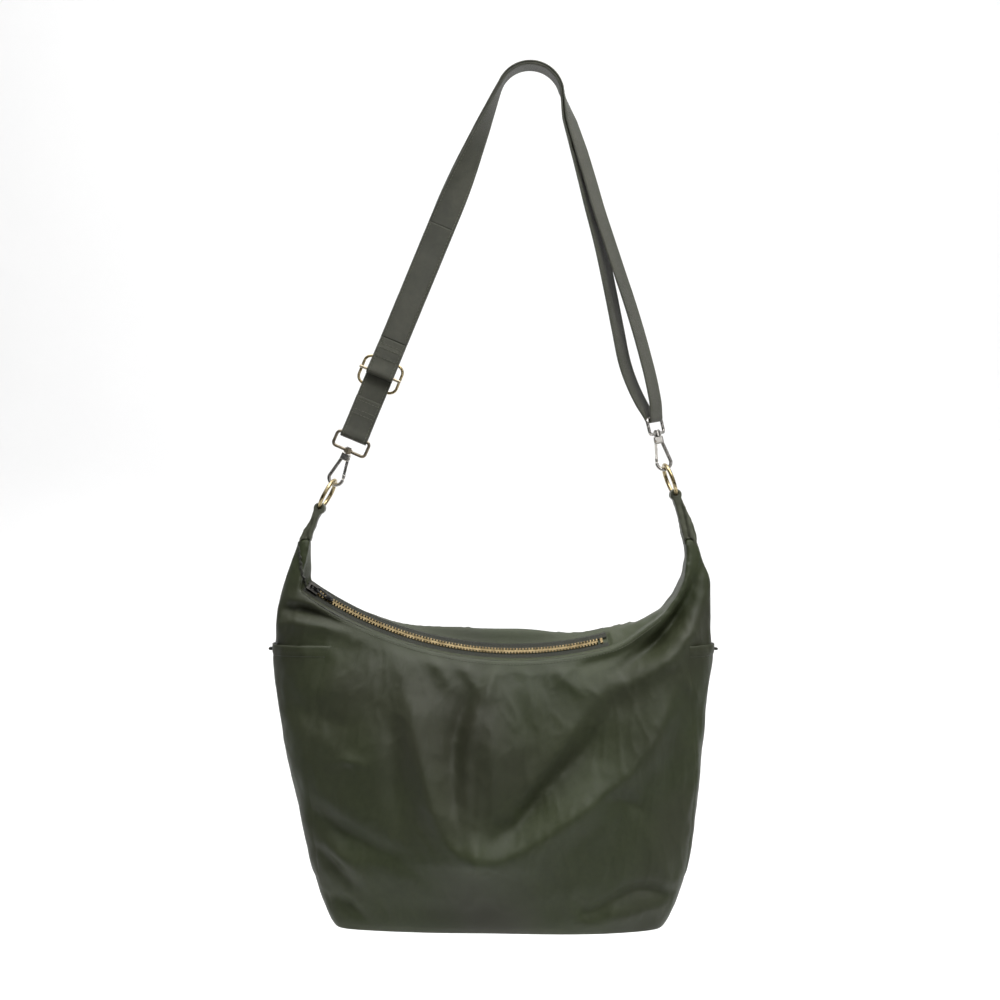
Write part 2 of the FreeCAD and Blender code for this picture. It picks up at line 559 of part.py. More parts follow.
# flat slip pocket on the lining's back wall
pocket_box = Part.makeBox(180, 200, 120, V(XC - 90, 0, -690))
pocket = form(D["panel_thick"] + 1.2 + D["lining_thick"]).cut(form(D["panel_thick"] + 1.9 + D["lining_thick"])).common(pocket_box)
feature("lining_pocket", biggest(pocket))

# side slip pockets: an outer layer over each gusset, open at the top
skin = form(-1.5).cut(form(-0.3))
POCKET_TOP = -515.0
for side, x0 in (("left", -251.0), ("right", 113.5)):
    box = Part.makeBox(70, 2 * GUSSET - 2, 210, V(x0, -GUSSET + 1, -728))
    feature(side + "_side_pocket", biggest(skin.common(box).common(slab(-900, POCKET_TOP))))

# ---------------------------------------------------------------- ring tabs, sewn into the wing tips
TABS = {
    "left": [(-197.0, -406.5), (-203.0, -415.5), (-206.6, -424.0), (-207.6, -430.0), (-198.4, -430.0), (-196.6, -424.0), (-194.0, -416.0), (-190.6, -406.0)],
    "right": [(132.4, -401.0), (135.2, -414.0), (137.6, -424.0), (138.8, -430.0), (149.6, -430.0), (149.2, -424.0), (147.4, -415.0), (143.6, -405.0)],
}
for side, wing in (("left", wing_l), ("right", wing_r)):
    low, centre, d, normal = RINGS[side]
    hold = centre + d * D["ring_radius"]
    w = D["tab_width"]
    eye = Part.makeCylinder(D["tab_radius"], w, hold - Y * w / 2, V(0, 1, 0))
    pts = TABS[side]
    first, last = pts[0], pts[-1]
    across = V(last[0] - first[0], 0, last[1] - first[1]).normalize() * (D["tab_radius"] - 0.6)
    top = [hold + across, hold - across]
    tail = prism([(p.x, p.z) for p in top] + pts, -w / 2, w / 2)
    tunnel = Part.makeTorus(D["ring_radius"], D["ring_wire"] + 0.45, centre, normal)
    tab = eye.fuse(tail).removeSplitter().cut(tunnel).cut(wing)
    feature(side + "_ring_tab", biggest(tab))

# ---------------------------------------------------------------- zip
mouth_in = form(D["panel_thick"] + GAP)
gap = GAP
tape = mouth_space(gap + TAPE).cut(mouth_space(gap)).common(sector(A0 - 0.4, A1 + 1.2)).common(mouth_in).common(slab(-900, -300))
YB = 2.7
for name, y0, y1 in (("zip_tape_front", -60, -YB), ("zip_tape_back", YB, 60)):
    t = tape.common(Part.makeBox(900, y1 - y0, 900, V(-450, y0, -900)))
    feature(name, biggest(t))

cosT, sinT = math.cos(rad(D["zip_tilt"])), math.sin(rad(D["zip_tilt"]))


def zip_place(a, up=0.0, across=0.0):
    """Local frame on the zip at angle a: X along the zip, Y across it towards the back, Z out of the bag."""
    ex = V(math.cos(rad(a)), 0, math.sin(rad(a)))
    er = V(-math.sin(rad(a)), 0, math.cos(rad(a)))       # towards the zip's centre, up
    ey = V(0, 1, 0) * cosT + er * sinT
    ez = er * cosT - V(0, 1, 0) * sinT
    base = polar(D["zip_radius"] + gap + TAPE / 2, a)
    return Placement(base + ez * up + ey * across, Rotation(ex, ey, ez, "XYZ"))


pitch = math.degrees(D["teeth_pitch"] / D["zip_radius"])
front_teeth, back_teeth = [], []
a = A0 + 0.4
while a < A1 - 0.4:
    for half_step, group in ((0, front_teeth), (0.5, back_teeth)):
        p = zip_place(a + half_step * pitch)
        if group is front_teeth:
            tooth = Part.makeBox(1.15, 2.2, 2.2, V(-0.575, -1.15, -1.1)).fuse(Part.makeBox(1.15, 2.2, 2.6, V(-0.575, -3.3, -1.3)).cut(Part.makeBox(4, 2.0, TAPE + 0.1, V(-2, -3.5, -TAPE / 2 - 0.05))))
        else:
            tooth = Part.makeBox(1.15, 2.2, 2.2, V(-0.575, -1.05, -1.1)).fuse(Part.makeBox(1.15, 2.2, 2.6, V(-0.575, 1.1, -1.3)).cut(Part.makeBox(4, 2.0, TAPE + 0.1, V(-2, 1.5, -TAPE / 2 - 0.05))))
        tooth.Placement = p
        group.append(tooth)
    a += pitch
feature("zip_teeth_front", Part.makeCompound(front_teeth))
feature("zip_teeth_back", Part.makeCompound(back_teeth))
stop = Part.makeBox(2.2, 5.6, 2.6, V(-1.1, -2.8, -1.3)).cut(Part.makeBox(4, 1.5, TAPE + 0.1, V(-2, -2.9, -TAPE / 2 - 0.05))).cut(Part.makeBox(4, 1.5, TAPE + 0.1, V(-2, 1.4, -TAPE / 2 - 0.05)))
stop.Placement = zip_place(A1 + 0.25)
feature("zip_bottom_stop", stop)

# slider: a body with a channel for the closed teeth and side slots for the tapes
S_A = A0 + 0.9
sb = doc.addObject("PartDesign::Body", "slider_body")
sk = sb.newObject("Sketcher::SketchObject", "slider_outline")
sk.AttachmentSupport = [([f for f in sb.Origin.OriginFeatures if f.Role == "YZ_Plane"][0], "")]
sk.MapMode = "FlatFace"


def box_sketch(sk, w, h, cy, names, off=None):
    a, b = w / 2, h / 2
    g = [sk.addGeometry(Part.LineSegment(V(*p, 0), V(*q, 0)), False) for p, q in (
        ((-a, cy - b), (a, cy - b)), ((a, cy - b), (a, cy + b)), ((a, cy + b), (-a, cy + b)), ((-a, cy + b), (-a, cy - b)))]
    C = Sketcher.Constraint
    for i in range(4):
        sk.addConstraint(C("Coincident", g[i], 2, g[(i + 1) % 4], 1))
    sk.addConstraint(C("Horizontal", g[2]))
    sk.addConstraint(C("Vertical", g[1]))
    sk.addConstraint(C("Vertical", g[3]))
    sk.addConstraint(C("Symmetric", g[0], 1, g[0], 2, -2))
    i = sk.addConstraint(C("DistanceX", g[0], 1, g[0], 2, w))
    sk.setExpression("Constraints[%d]" % i, names[0])
    i = sk.addConstraint(C("DistanceY", g[1], 1, g[1], 2, h))
    sk.setExpression("Constraints[%d]" % i, names[1])
    sk.addConstraint(C("DistanceY", -1, 1, g[1], 1, cy - b))


box_sketch(sk, D["slider_wide"], D["slider_tall"], 0.0, ("dims.slider_wide", "dims.slider_tall"))
pad = sb.newObject("PartDesign::Pad", "slider_pad")
pad.Profile = sk
pad.setExpression("Length", "dims.slider_len")
pad.Midplane = True
doc.recompute()
v0 = pad.Shape.Volume
sk2 = sb.newObject("Sketcher::SketchObject", "slider_channel")
sk2.AttachmentSupport = [([f for f in sb.Origin.OriginFeatures if f.Role == "YZ_Plane"][0], "")]
sk2.MapMode = "FlatFace"
box_sketch(sk2, 7.2, 3.2, 0.0, ("dims.slider_wide - 2.4", "3.2"))
poc = sb.newObject("PartDesign::Pocket", "slider_channel_cut")
poc.Profile = sk2
poc.Midplane = True
poc.Length = 30.0
doc.recompute()
v1 = poc.Shape.Volume
sk3 = sb.newObject("Sketcher::SketchObject", "slider_slots")
sk3.AttachmentSupport = [([f for f in sb.Origin.OriginFeatures if f.Role == "YZ_Plane"][0], "")]
sk3.MapMode = "FlatFace"
box_sketch(sk3, 20.0, 1.5, 0.0, ("20", "1.5"))
poc2 = sb.newObject("PartDesign::Pocket", "slider_slot_cut")
poc2.Profile = sk3
poc2.Midplane = True
poc2.Length = 30.0
sb.Tip = poc2
doc.recompute()
v2 = poc2.Shape.Volume
print("slider volumes", round(v0, 1), round(v1, 1), round(v2, 1))
sb.Placement = Placement()
# the side slots part the body in two plates, so a diamond post joins them ahead of the teeth
crown_out = prim("Box", "slider_crown_out", Length=7.0, Width=2.4, Height=3.6)
crown_out.Placement = Placement(V(-3.5, -1.2, D["slider_tall"] / 2 - 0.2), Rotation())
crown_in = prim("Box", "slider_crown_in", Length=4.2, Width=6.0, Height=2.6)
crown_in.Placement = Placement(V(-2.1, -3.0, D["slider_tall"] / 2 - 0.0), Rotation())
post_d = prim("Box", "slider_diamond", Length=1.6, Width=3.0, Height=D["slider_tall"] - 0.4)
post_d.Placement = Placement(V(-D["slider_len"] / 2 + 0.2, -1.5, -D["slider_tall"] / 2 + 0.2), Rotation())
sl = cut("slider_all", fuse("slider_fuse", sb, crown_out, post_d), crown_in)
sl.Placement = zip_place(S_A)
keep(sl, "zip_slider")

# pull: an elongated loop through the crown, lying down the zip
pull_out = prim("Box", "pull_outline", Length="dims.pull_len", Width="dims.pull_wide", Height="dims.pull_thick")
pull_f = fillet_all("pull_round", pull_out, 3.2, lambda e: e.BoundBox.ZLength > 1.0)
pull_hole = prim("Box", "pull_window", Length="dims.pull_len - 3.6", Width="dims.pull_wide - 3.2", Height=5.0)
pull_hole.Placement = Placement(V(1.8, 1.6, -1), Rotation())
doc.recompute()
pl = cut("pull_all", pull_f, pull_hole)
hinge_up = D["slider_tall"] / 2 + 1.3
pl.Placement = zip_place(S_A).multiply(Placement(V(-0.8, -D["pull_wide"] / 2, hinge_up - D["pull_thick"] / 2), Rotation()))
keep(pl, "zip_pull")

# ---------------------------------------------------------------- check and write
doc.recompute()
bad = []
for o in doc.Objects:
    if "Invalid" in o.State or "Error" in o.State:
        bad.append((o.Name, o.State))
for o, label in PARTS:
    s = o.Shape
    if s.isNull() or not s.isValid() or not s.Solids:
        bad.append((label, "null, invalid or without a solid"))
if bad:
    raise SystemExit("failed objects: %s" % bad)
os.makedirs("parts", exist_ok=True)
for name in os.listdir("parts"):
    if name.endswith(".step"):
        os.remove(os.path.join("parts", name))
for o, label in PARTS:
    o.Shape.exportStep("parts/%s.step" % label)
print("wrote", len(PARTS), "parts")


def show(name, v):
    print(name, [round(c / 1000.0, 6) for c in (v.x, v.y, v.z)])


for side, place, gate in (("left", place_l, gate_l), ("right", place_r, gate_r)):
    show(side + " bar", place.Base)
    show(side + " pull dir*1000", place.Rotation.multVec(V(0, 0, -1000)))
    show(side + " gate pivot", place.multVec(gate))
    show(side + " bow low", RINGS[side][0])
    show(side + " ring centre", RINGS[side][1])
    show(side + " ring normal*1000", RINGS[side][3] * 1000)
show("T_R*1000", T_R * 1000)
show("L_L*1000", L_L * 1000)
show("E_L*1000", E_L * 1000)
show("slider at", zip_place(S_A).Base)
show("pull hinge", zip_place(S_A).multVec(V(0, 0, hinge_up)))
show("pull axis*1000", zip_place(S_A).Rotation.multVec(V(0, 1000, 0)))
show("zip centre", ZIP_C)
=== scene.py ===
import json
import math
import bmesh
import bpy
import numpy as np
from mathutils import Matrix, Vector, Vector as V, noise
from mathutils.bvhtree import BVHTree


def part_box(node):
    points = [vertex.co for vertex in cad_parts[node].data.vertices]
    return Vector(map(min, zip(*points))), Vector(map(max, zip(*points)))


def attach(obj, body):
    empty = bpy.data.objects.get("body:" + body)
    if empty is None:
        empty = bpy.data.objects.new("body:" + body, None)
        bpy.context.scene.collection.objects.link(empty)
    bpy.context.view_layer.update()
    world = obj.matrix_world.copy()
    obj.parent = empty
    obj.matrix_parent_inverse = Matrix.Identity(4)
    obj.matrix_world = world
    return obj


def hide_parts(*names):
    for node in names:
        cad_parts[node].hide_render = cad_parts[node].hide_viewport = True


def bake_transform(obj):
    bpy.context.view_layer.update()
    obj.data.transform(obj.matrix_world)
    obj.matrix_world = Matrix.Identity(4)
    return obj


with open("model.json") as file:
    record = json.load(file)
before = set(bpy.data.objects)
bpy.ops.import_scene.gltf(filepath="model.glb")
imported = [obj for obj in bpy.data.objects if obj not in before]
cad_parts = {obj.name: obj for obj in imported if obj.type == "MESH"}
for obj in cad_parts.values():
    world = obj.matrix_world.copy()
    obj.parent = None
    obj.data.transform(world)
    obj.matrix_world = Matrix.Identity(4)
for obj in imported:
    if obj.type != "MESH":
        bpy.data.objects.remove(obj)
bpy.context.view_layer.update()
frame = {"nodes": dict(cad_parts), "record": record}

MM = 0.001
BOX = {n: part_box(n) for n in frame["nodes"]}


def rad(a):
    return math.radians(a)


def lerp(a, b, k):
    return a + (b - a) * k


def smooth01(x):
    x = np.clip(x, 0.0, 1.0)
    return x * x * (3 - 2 * x)


# ------------------------------------------------------------------ mesh helpers
def mesh_object(name, verts, faces, uvs=None, smooth=True, scale=MM):
    me = bpy.data.meshes.new(name)
    me.from_pydata([tuple(c * scale for c in v) for v in verts], [], faces)
    me.validate()
    if uvs is not None:
        layer = me.uv_layers.new(name="UVMap")
        idx = np.zeros(len(me.loops), dtype=np.int32)
        me.loops.foreach_get("vertex_index", idx)
        layer.data.foreach_set("uv", np.asarray(uvs, dtype=np.float32)[idx].ravel())
    if smooth:
        me.polygons.foreach_set("use_smooth", [True] * len(me.polygons))
    me.update()
    ob = bpy.data.objects.new(name, me)
    bpy.context.scene.collection.objects.link(ob)
    return ob


def coords(ob):
    a = np.zeros(len(ob.data.vertices) * 3, dtype=np.float64)
    ob.data.vertices.foreach_get("co", a)
    return a.reshape(-1, 3) / MM


def set_coords(ob, a):
    ob.data.vertices.foreach_set("co", (a * MM).ravel())
    ob.data.update()


def normals(ob):
    a = np.zeros(len(ob.data.vertices) * 3, dtype=np.float64)
    ob.data.vertices.foreach_get("normal", a)
    return a.reshape(-1, 3)


def apply_all(ob):
    """Freeze an object's modifiers into its mesh."""
    deps = bpy.context.evaluated_depsgraph_get()
    deps.update()
    me = bpy.data.meshes.new_from_object(ob.evaluated_get(deps))
    old = ob.data
    ob.modifiers.clear()
    ob.data = me
    bpy.data.meshes.remove(old)
    return ob


def modify(ob, kind, **props):
    m = ob.modifiers.new(kind.lower(), kind)
    for k, v in props.items():
        setattr(m, k, v)
    return m


def edges_of(ob):
    e = np.zeros(len(ob.data.edges) * 2, dtype=np.int32)
    ob.data.edges.foreach_get("vertices", e)
    return e.reshape(-1, 2)


def relax(P, E, rounds, k=0.5, hold=None):
    """Even out a point cloud along its edges."""
    deg = np.bincount(E.ravel(), minlength=len(P)).astype(float)
    deg[deg == 0] = 1
    for _ in range(rounds):
        S = np.zeros_like(P)
        np.add.at(S, E[:, 0], P[E[:, 1]])
        np.add.at(S, E[:, 1], P[E[:, 0]])
        Q = P + (S / deg[:, None] - P) * k
        if hold is not None:
            Q = P * hold[:, None] + Q * (1 - hold[:, None])
        P = Q
    return P


def capsule_mesh(items, sides=6):
    """Thread stitches: one short rounded rod for each (start, end, radius)."""
    verts, faces = [], []
    for p, q, r in items:
        p, q = V(p), V(q)
        d = (q - p)
        ln = d.length
        if ln < 1e-6:
            continue
        d /= ln
        a = d.orthogonal().normalized()
        b = d.cross(a)
        base = len(verts)
        for t, s in ((0.0, 0.35), (0.12, 0.85), (0.5, 1.0), (0.88, 0.85), (1.0, 0.35)):
            c = p + d * (ln * t)
            for i in range(sides):
                w = 2 * math.pi * i / sides
                verts.append(c + (a * math.cos(w) + b * math.sin(w)) * (r * s))
        for k in range(4):
            for i in range(sides):
                j = (i + 1) % sides
                faces.append((base + k * sides + i, base + k * sides + j, base + (k + 1) * sides + j, base + (k + 1) * sides + i))
        faces.append(tuple(base + i for i in reversed(range(sides))))
        faces.append(tuple(base + 4 * sides + i for i in range(sides)))
    return verts, faces


def stitches_on(name, path, pitch, length, r, lift):
    """Stitches along (point, normal) samples in millimetres, half sunk in the cloth."""
    items = []
    pts = [V(p) for p, n in path]
    nrm = [V(n) for p, n in path]
    cum = [0.0]
    for a, b in zip(pts, pts[1:]):
        cum.append(cum[-1] + (b - a).length)
    total = cum[-1]

    def at(s):
        k = min(max(np.searchsorted(cum, s) - 1, 0), len(pts) - 2)
        f = (s - cum[k]) / max(cum[k + 1] - cum[k], 1e-9)
        return pts[k].lerp(pts[k + 1], f), nrm[k].lerp(nrm[k + 1], f).normalized()

    s = pitch * 0.5
    while s + length < total:
        p, n = at(s)
        q, m = at(s + length)
        items.append((p + n * lift, q + m * lift, r))
        s += pitch
    return items


# ------------------------------------------------------------------ materials
def material(name):
    m = bpy.data.materials.new(name)
    m.use_nodes = True
    m.node_tree.nodes.clear()
    t = m.node_tree
    out = t.nodes.new("ShaderNodeOutputMaterial")
    sh = t.nodes.new("ShaderNodeBsdfPrincipled")
    t.links.new(sh.outputs[0], out.inputs[0])
    return m, t, sh


def tex_noise(t, coord, scale, detail=4.0, rough=0.55, distortion=0.0):
    n = t.nodes.new("ShaderNodeTexNoise")
    n.inputs["Scale"].default_value = scale
    n.inputs["Detail"].default_value = detail
    n.inputs["Roughness"].default_value = rough
    n.inputs["Distortion"].default_value = distortion
    t.links.new(coord, n.inputs["Vector"])
    return n.outputs["Fac"]


def ramp(t, fac, stops):
    r = t.nodes.new("ShaderNodeValToRGB")
    r.color_ramp.elements[0].position, r.color_ramp.elements[0].color = stops[0][0], (*stops[0][1], 1)
    r.color_ramp.elements[1].position, r.color_ramp.elements[1].color = stops[-1][0], (*stops[-1][1], 1)
    for pos, col in stops[1:-1]:
        e = r.color_ramp.elements.new(pos)
        e.color = (*col, 1)
    t.links.new(fac, r.inputs[0])
    return r.outputs[0]


def maths(t, op, a, b=None, clamp=False):
    n = t.nodes.new("ShaderNodeMath")
    n.operation = op
    n.use_clamp = clamp
    for i, v in enumerate((a, b)):
        if v is None:
            continue
        if isinstance(v, (int, float)):
            n.inputs[i].default_value = v
        else:
            t.links.new(v, n.inputs[i])
    return n.outputs[0]


def ranged(t, v, a0, a1, b0, b1):
    n = t.nodes.new("ShaderNodeMapRange")
    t.links.new(v, n.inputs[0])
    for i, x in enumerate((a0, a1, b0, b1)):
        n.inputs[i + 1].default_value = x
    return n.outputs[0]


def bump(t, height, strength, distance, normal=None):
    b = t.nodes.new("ShaderNodeBump")
    b.inputs["Strength"].default_value = strength
    b.inputs["Distance"].default_value = distance
    t.links.new(height, b.inputs["Height"])
    if normal is not None:
        t.links.new(normal, b.inputs["Normal"])
    return b.outputs[0]


def object_coord(t):
    return t.nodes.new("ShaderNodeTexCoord").outputs["Object"]


def split(t, vec):
    n = t.nodes.new("ShaderNodeSeparateXYZ")
    t.links.new(vec, n.inputs[0])
    return n.outputs


def cloth(name, dark, mid, light, rough, thread, weave, crinkle, sheen=0.15, uv=False, spec=0.4, crinkle_scale=55.0, patch=9.0, painted_sheen_tint=None):
    """Woven cloth: threads both ways, soft crumples, mottled dye and a little variation in gloss."""
    m, t, sh = material(name)
    co = object_coord(t)
    if uv:
        wv = t.nodes.new("ShaderNodeUVMap")
        wv.uv_map = "UVMap"
        wc = wv.outputs[0]
        x, y, _ = split(t, wc)
        a = maths(t, "SINE", maths(t, "MULTIPLY", x, 2 * math.pi / thread))
        b = maths(t, "SINE", maths(t, "MULTIPLY", y, 2 * math.pi / thread))
    else:
        x, y, z = split(t, co)
        a = maths(t, "SINE", maths(t, "MULTIPLY", maths(t, "ADD", x, maths(t, "MULTIPLY", y, 0.83)), 2 * math.pi / thread))
        b = maths(t, "SINE", maths(t, "MULTIPLY", maths(t, "ADD", z, maths(t, "MULTIPLY", y, 0.17)), 2 * math.pi / thread))
    wave = maths(t, "MULTIPLY", a, b)
    fuzz = tex_noise(t, co, 1400.0, 3.0, 0.6)
    mott = tex_noise(t, co, patch, 5.0, 0.6, 0.3)
    fine = tex_noise(t, co, 210.0, 4.0, 0.6)
    tone = maths(t, "ADD", maths(t, "MULTIPLY", mott, 0.55), maths(t, "MULTIPLY", fine, 0.3))
    tone = maths(t, "ADD", tone, maths(t, "MULTIPLY", wave, 0.06))
    col = ramp(t, tone, [(0.28, dark), (0.43, mid), (0.58, light)])
    # Painted sheen: broad noise patches shift the colour towards a greyish tint that stands in for the satin's
    # reflected sheen.
    if painted_sheen_tint:
        mx = t.nodes.new("ShaderNodeMix")
        mx.data_type = "RGBA"
        mx.inputs[7].default_value = (*painted_sheen_tint, 1)
        t.links.new(col, mx.inputs[6])
        t.links.new(ranged(t, tex_noise(t, co, 5.5, 2.0, 0.5, 0.4), 0.42, 0.66, 0.0, 0.7), mx.inputs[0])
        col = mx.outputs[2]
    t.links.new(col, sh.inputs["Base Color"])
    t.links.new(ranged(t, maths(t, "ADD", fine, maths(t, "MULTIPLY", wave, 0.15)), 0.2, 0.8, rough - 0.07, rough + 0.09), sh.inputs["Roughness"])
    soft = tex_noise(t, co, crinkle_scale, 4.0, 0.5, 0.6)
    big = tex_noise(t, co, crinkle_scale * 0.38, 2.0, 0.5, 0.8)
    n1 = bump(t, maths(t, "ADD", soft, maths(t, "MULTIPLY", big, 1.6)), 1.0, crinkle)
    n2 = bump(t, maths(t, "ADD", wave, maths(t, "MULTIPLY", fuzz, 0.8)), 1.0, weave, n1)
    t.links.new(n2, sh.inputs["Normal"])
    sh.inputs["Sheen Weight"].default_value = sheen
    sh.inputs["Sheen Roughness"].default_value = 0.45
    sh.inputs["Specular IOR Level"].default_value = spec
    return m


def metal(name, dark, mid, light, rough, wear=0.5, spots=0.0):
    """Plated metal: polish marks, slight tarnish in patches, tiny dents."""
    m, t, sh = material(name)
    co = object_coord(t)
    patch = tex_noise(t, co, 160.0, 6.0, 0.62, 0.4)
    fine = tex_noise(t, co, 900.0, 3.0, 0.5)
    geo = t.nodes.new("ShaderNodeNewGeometry").outputs["Pointiness"]
    edge = ranged(t, geo, 0.47, 0.56, 0.0, 1.0)
    tone = maths(t, "ADD", maths(t, "MULTIPLY", patch, 0.75), maths(t, "MULTIPLY", edge, 0.25 * wear))
    t.links.new(ramp(t, tone, [(0.22, dark), (0.42, mid), (0.62, light)]), sh.inputs["Base Color"])
    t.links.new(ranged(t, maths(t, "ADD", maths(t, "MULTIPLY", patch, 0.6), maths(t, "MULTIPLY", fine, 0.4)), 0.3, 0.7, rough - 0.06, rough + 0.12), sh.inputs["Roughness"])
    t.links.new(bump(t, maths(t, "ADD", fine, maths(t, "MULTIPLY", patch, 0.6)), 0.5, 0.00006), sh.inputs["Normal"])
    sh.inputs["Metallic"].default_value = 1.0
    return m


# The nylon's greyish noise patches are painted sheen.
NYLON = cloth("nylon", (0.0215, 0.0275, 0.0105), (0.0285, 0.0355, 0.0145), (0.037, 0.0445, 0.0195), 0.47, 0.00075, 0.00004, 0.0003, sheen=0.0, spec=0.26, painted_sheen_tint=(0.031, 0.0295, 0.021))
# Painted light: a brighter copy of the nylon for the ring tabs, standing in for light that their sideways-facing cloth
# does not catch.
LIT_TAB_NYLON = cloth("lit_tab_nylon", (0.042, 0.046, 0.026), (0.062, 0.066, 0.042), (0.088, 0.092, 0.062), 0.5, 0.00075, 0.00004, 0.0003, sheen=0.05, spec=0.4)
BINDING = cloth("binding", (0.012, 0.013, 0.008), (0.019, 0.021, 0.013), (0.034, 0.036, 0.024), 0.55, 0.00075, 0.00008, 0.0003, sheen=0.05, spec=0.3)
WEBBING = cloth("webbing", (0.027, 0.028, 0.017), (0.041, 0.0415, 0.027), (0.058, 0.058, 0.040), 0.48, 0.0009, 0.00012, 0.0002, sheen=0.03, uv=True, spec=0.42, patch=30.0)
LINING = cloth("lining", (0.10, 0.082, 0.055), (0.14, 0.115, 0.08), (0.17, 0.14, 0.10), 0.5, 0.0006, 0.00004, 0.0006)
TAPE = cloth("zip_tape", (0.011, 0.012, 0.007), (0.017, 0.0185, 0.011), (0.025, 0.026, 0.016), 0.72, 0.0011, 0.00015, 0.00005, sheen=0.2, spec=0.25)
THREAD = cloth("thread", (0.06, 0.064, 0.04), (0.085, 0.09, 0.058), (0.12, 0.125, 0.085), 0.6, 0.0004, 0.00004, 0.00001, sheen=0.2)
THREAD_DARK = cloth("thread_dark", (0.02, 0.02, 0.014), (0.03, 0.03, 0.021), (0.045, 0.045, 0.033), 0.6, 0.0004, 0.00004, 0.00001, sheen=0.2)
CORD = cloth("pull_cord", (0.008, 0.008, 0.007), (0.014, 0.014, 0.012), (0.024, 0.023, 0.02), 0.55, 0.0007, 0.00012, 0.00003, sheen=0.25)
GOLD = metal("gold_brass", (0.13, 0.095, 0.04), (0.36, 0.285, 0.15), (0.62, 0.52, 0.32), 0.24)
TEETH = metal("tooth_brass", (0.03, 0.022, 0.011), (0.095, 0.070, 0.034), (0.22, 0.17, 0.092), 0.40)
ANTIQUE = metal("antique_brass", (0.06, 0.05, 0.034), (0.15, 0.125, 0.09), (0.34, 0.29, 0.21), 0.28, wear=1.0)
NICKEL = metal("nickel", (0.16, 0.15, 0.135), (0.36, 0.345, 0.32), (0.6, 0.58, 0.54), 0.22, wear=0.8)
DARK = metal("dark_metal", (0.01, 0.01, 0.01), (0.028, 0.027, 0.025), (0.07, 0.066, 0.06), 0.38)
BY_SLOT = {"nylon": NYLON, "webbing": WEBBING, "lining": LINING, "zip_tape": TAPE, "gold_brass": GOLD,
           "antique_brass": ANTIQUE, "nickel": NICKEL, "dark_metal": DARK}
for sub in frame["record"]["subparts"]:
    ob = frame["nodes"][sub["node"]]
    ob.data.materials.clear()
    ob.data.materials.append(TEETH if "teeth" in sub["node"] or "stop" in sub["node"] else DARK if "slider" in sub["node"] else BY_SLOT[sub["material_slot"]])


def paint(ob, mat):
    ob.data.materials.clear()
    ob.data.materials.append(mat)
    return ob


# ------------------------------------------------------------------ strap
Y = V((0, 1, 0))
ARCH = V((0, 0, -27.1))
BAR_L = V((-158.1, 0, -332.3))
BAR_R = V((111.3, 0, -315.9))
TILT = 22.51
E_L = V((-math.sin(rad(TILT)), 0, -math.cos(rad(TILT))))
L_L = V((math.cos(rad(TILT)), 0, -math.sin(rad(TILT))))
RIGHT_TILT, TWIST_R, HOOK_TILT_R = 15.4, 30.0, -13.0
L_R = V((math.cos(rad(RIGHT_TILT)), 0, math.sin(rad(RIGHT_TILT))))
OFF, THICK, WIDE = 1.0, 1.8, 25.0
FOLD = 1.4 + 0.5 + 0.9


def leg(s, offset, phi):
    w = L_L * math.sin(rad(phi)) + Y * math.cos(rad(phi))
    back = L_L * -math.cos(rad(phi)) + Y * math.sin(rad(phi))
    return BAR_L + E_L * s + back * offset, w, back


def twist_left(s):
    steps = [(-343.1, 0), (-318, 14), (-300, 25), (-280, 36), (-260, 50), (-238, 66), (-215, 82), (-197, 90), (0, 90)]
    for (s0, a0), (s1, a1) in zip(steps, steps[1:]):
        if s0 <= s <= s1:
            return lerp(a0, a1, (s - s0) / (s1 - s0))
    return 90 if s > 0 else 0


def flip(section):
    c, w, n = section
    return c, w, n * -1


RIGHT_RUN = [
    (-47.2, 37.3, 34.2), (-74.2, 46.0, 42.0), (-101.2, 54.2, 48.8), (-128.2, 62.1, 55.4), (-155.2, 71.0, 62.4),
    (-182.2, 79.9, 68.4), (-209.2, 88.9, 73.9), (-236.2, 97.2, 79.2), (-263.2, 104.6, 84.6), (-276.7, 108.0, 88.7),
    (-290.2, 110.9, 94.2), (-303.7, 113.2, 101.0),
]


def right(z, x, outer):
    phi = min(TWIST_R, TWIST_R * (-z - 12) / 42.0)
    n = L_R * math.cos(rad(phi)) - Y * math.sin(rad(phi))
    w = L_R * math.sin(rad(phi)) + Y * math.cos(rad(phi))
    return V((x, 0, z)), w, n if outer else n * -1


def arch_sections(radius, first, last, count, outer):
    out = []
    for i in range(count):
        a = rad(lerp(first, last, i / (count - 1)))
        n = V((math.cos(a), 0, math.sin(a)))
        out.append((ARCH + n * radius, Y.copy(), n if outer else n * -1))
    return out


web = []
for s, off in ((-36, OFF), (-25, OFF), (-14, OFF), (-7, OFF + 0.6), (-3, FOLD - 0.25)):
    web.append(flip(leg(s, -off, 90)))
for b in range(0, 181, 20):
    n = Y * -math.cos(rad(b)) + E_L * math.sin(rad(b))
    web.append((BAR_L + n * FOLD, L_L.copy(), n))
for s, off in ((-3, FOLD - 0.25), (-7, OFF + 0.6), (-14, OFF), (-60, OFF), (-120, OFF), (-197, OFF), (-215, OFF), (-238, OFF),
               (-260, OFF), (-280, OFF), (-300, OFF), (-318, OFF)):
    web.append(leg(s, off, twist_left(s)))
web += arch_sections(30.0, 180 - TILT, RIGHT_TILT, 17, True)
for z, xo, xi in RIGHT_RUN:
    web.append(right(z, xo, True))
P_R = V((-math.sin(rad(HOOK_TILT_R)), 0, -math.cos(rad(HOOK_TILT_R))))
N_R0 = V((math.cos(rad(HOOK_TILT_R)), 0, -math.sin(rad(HOOK_TILT_R))))
N_R = N_R0 * math.cos(rad(TWIST_R)) - Y * math.sin(rad(TWIST_R))
T_R = N_R0 * math.sin(rad(TWIST_R)) + Y * math.cos(rad(TWIST_R))
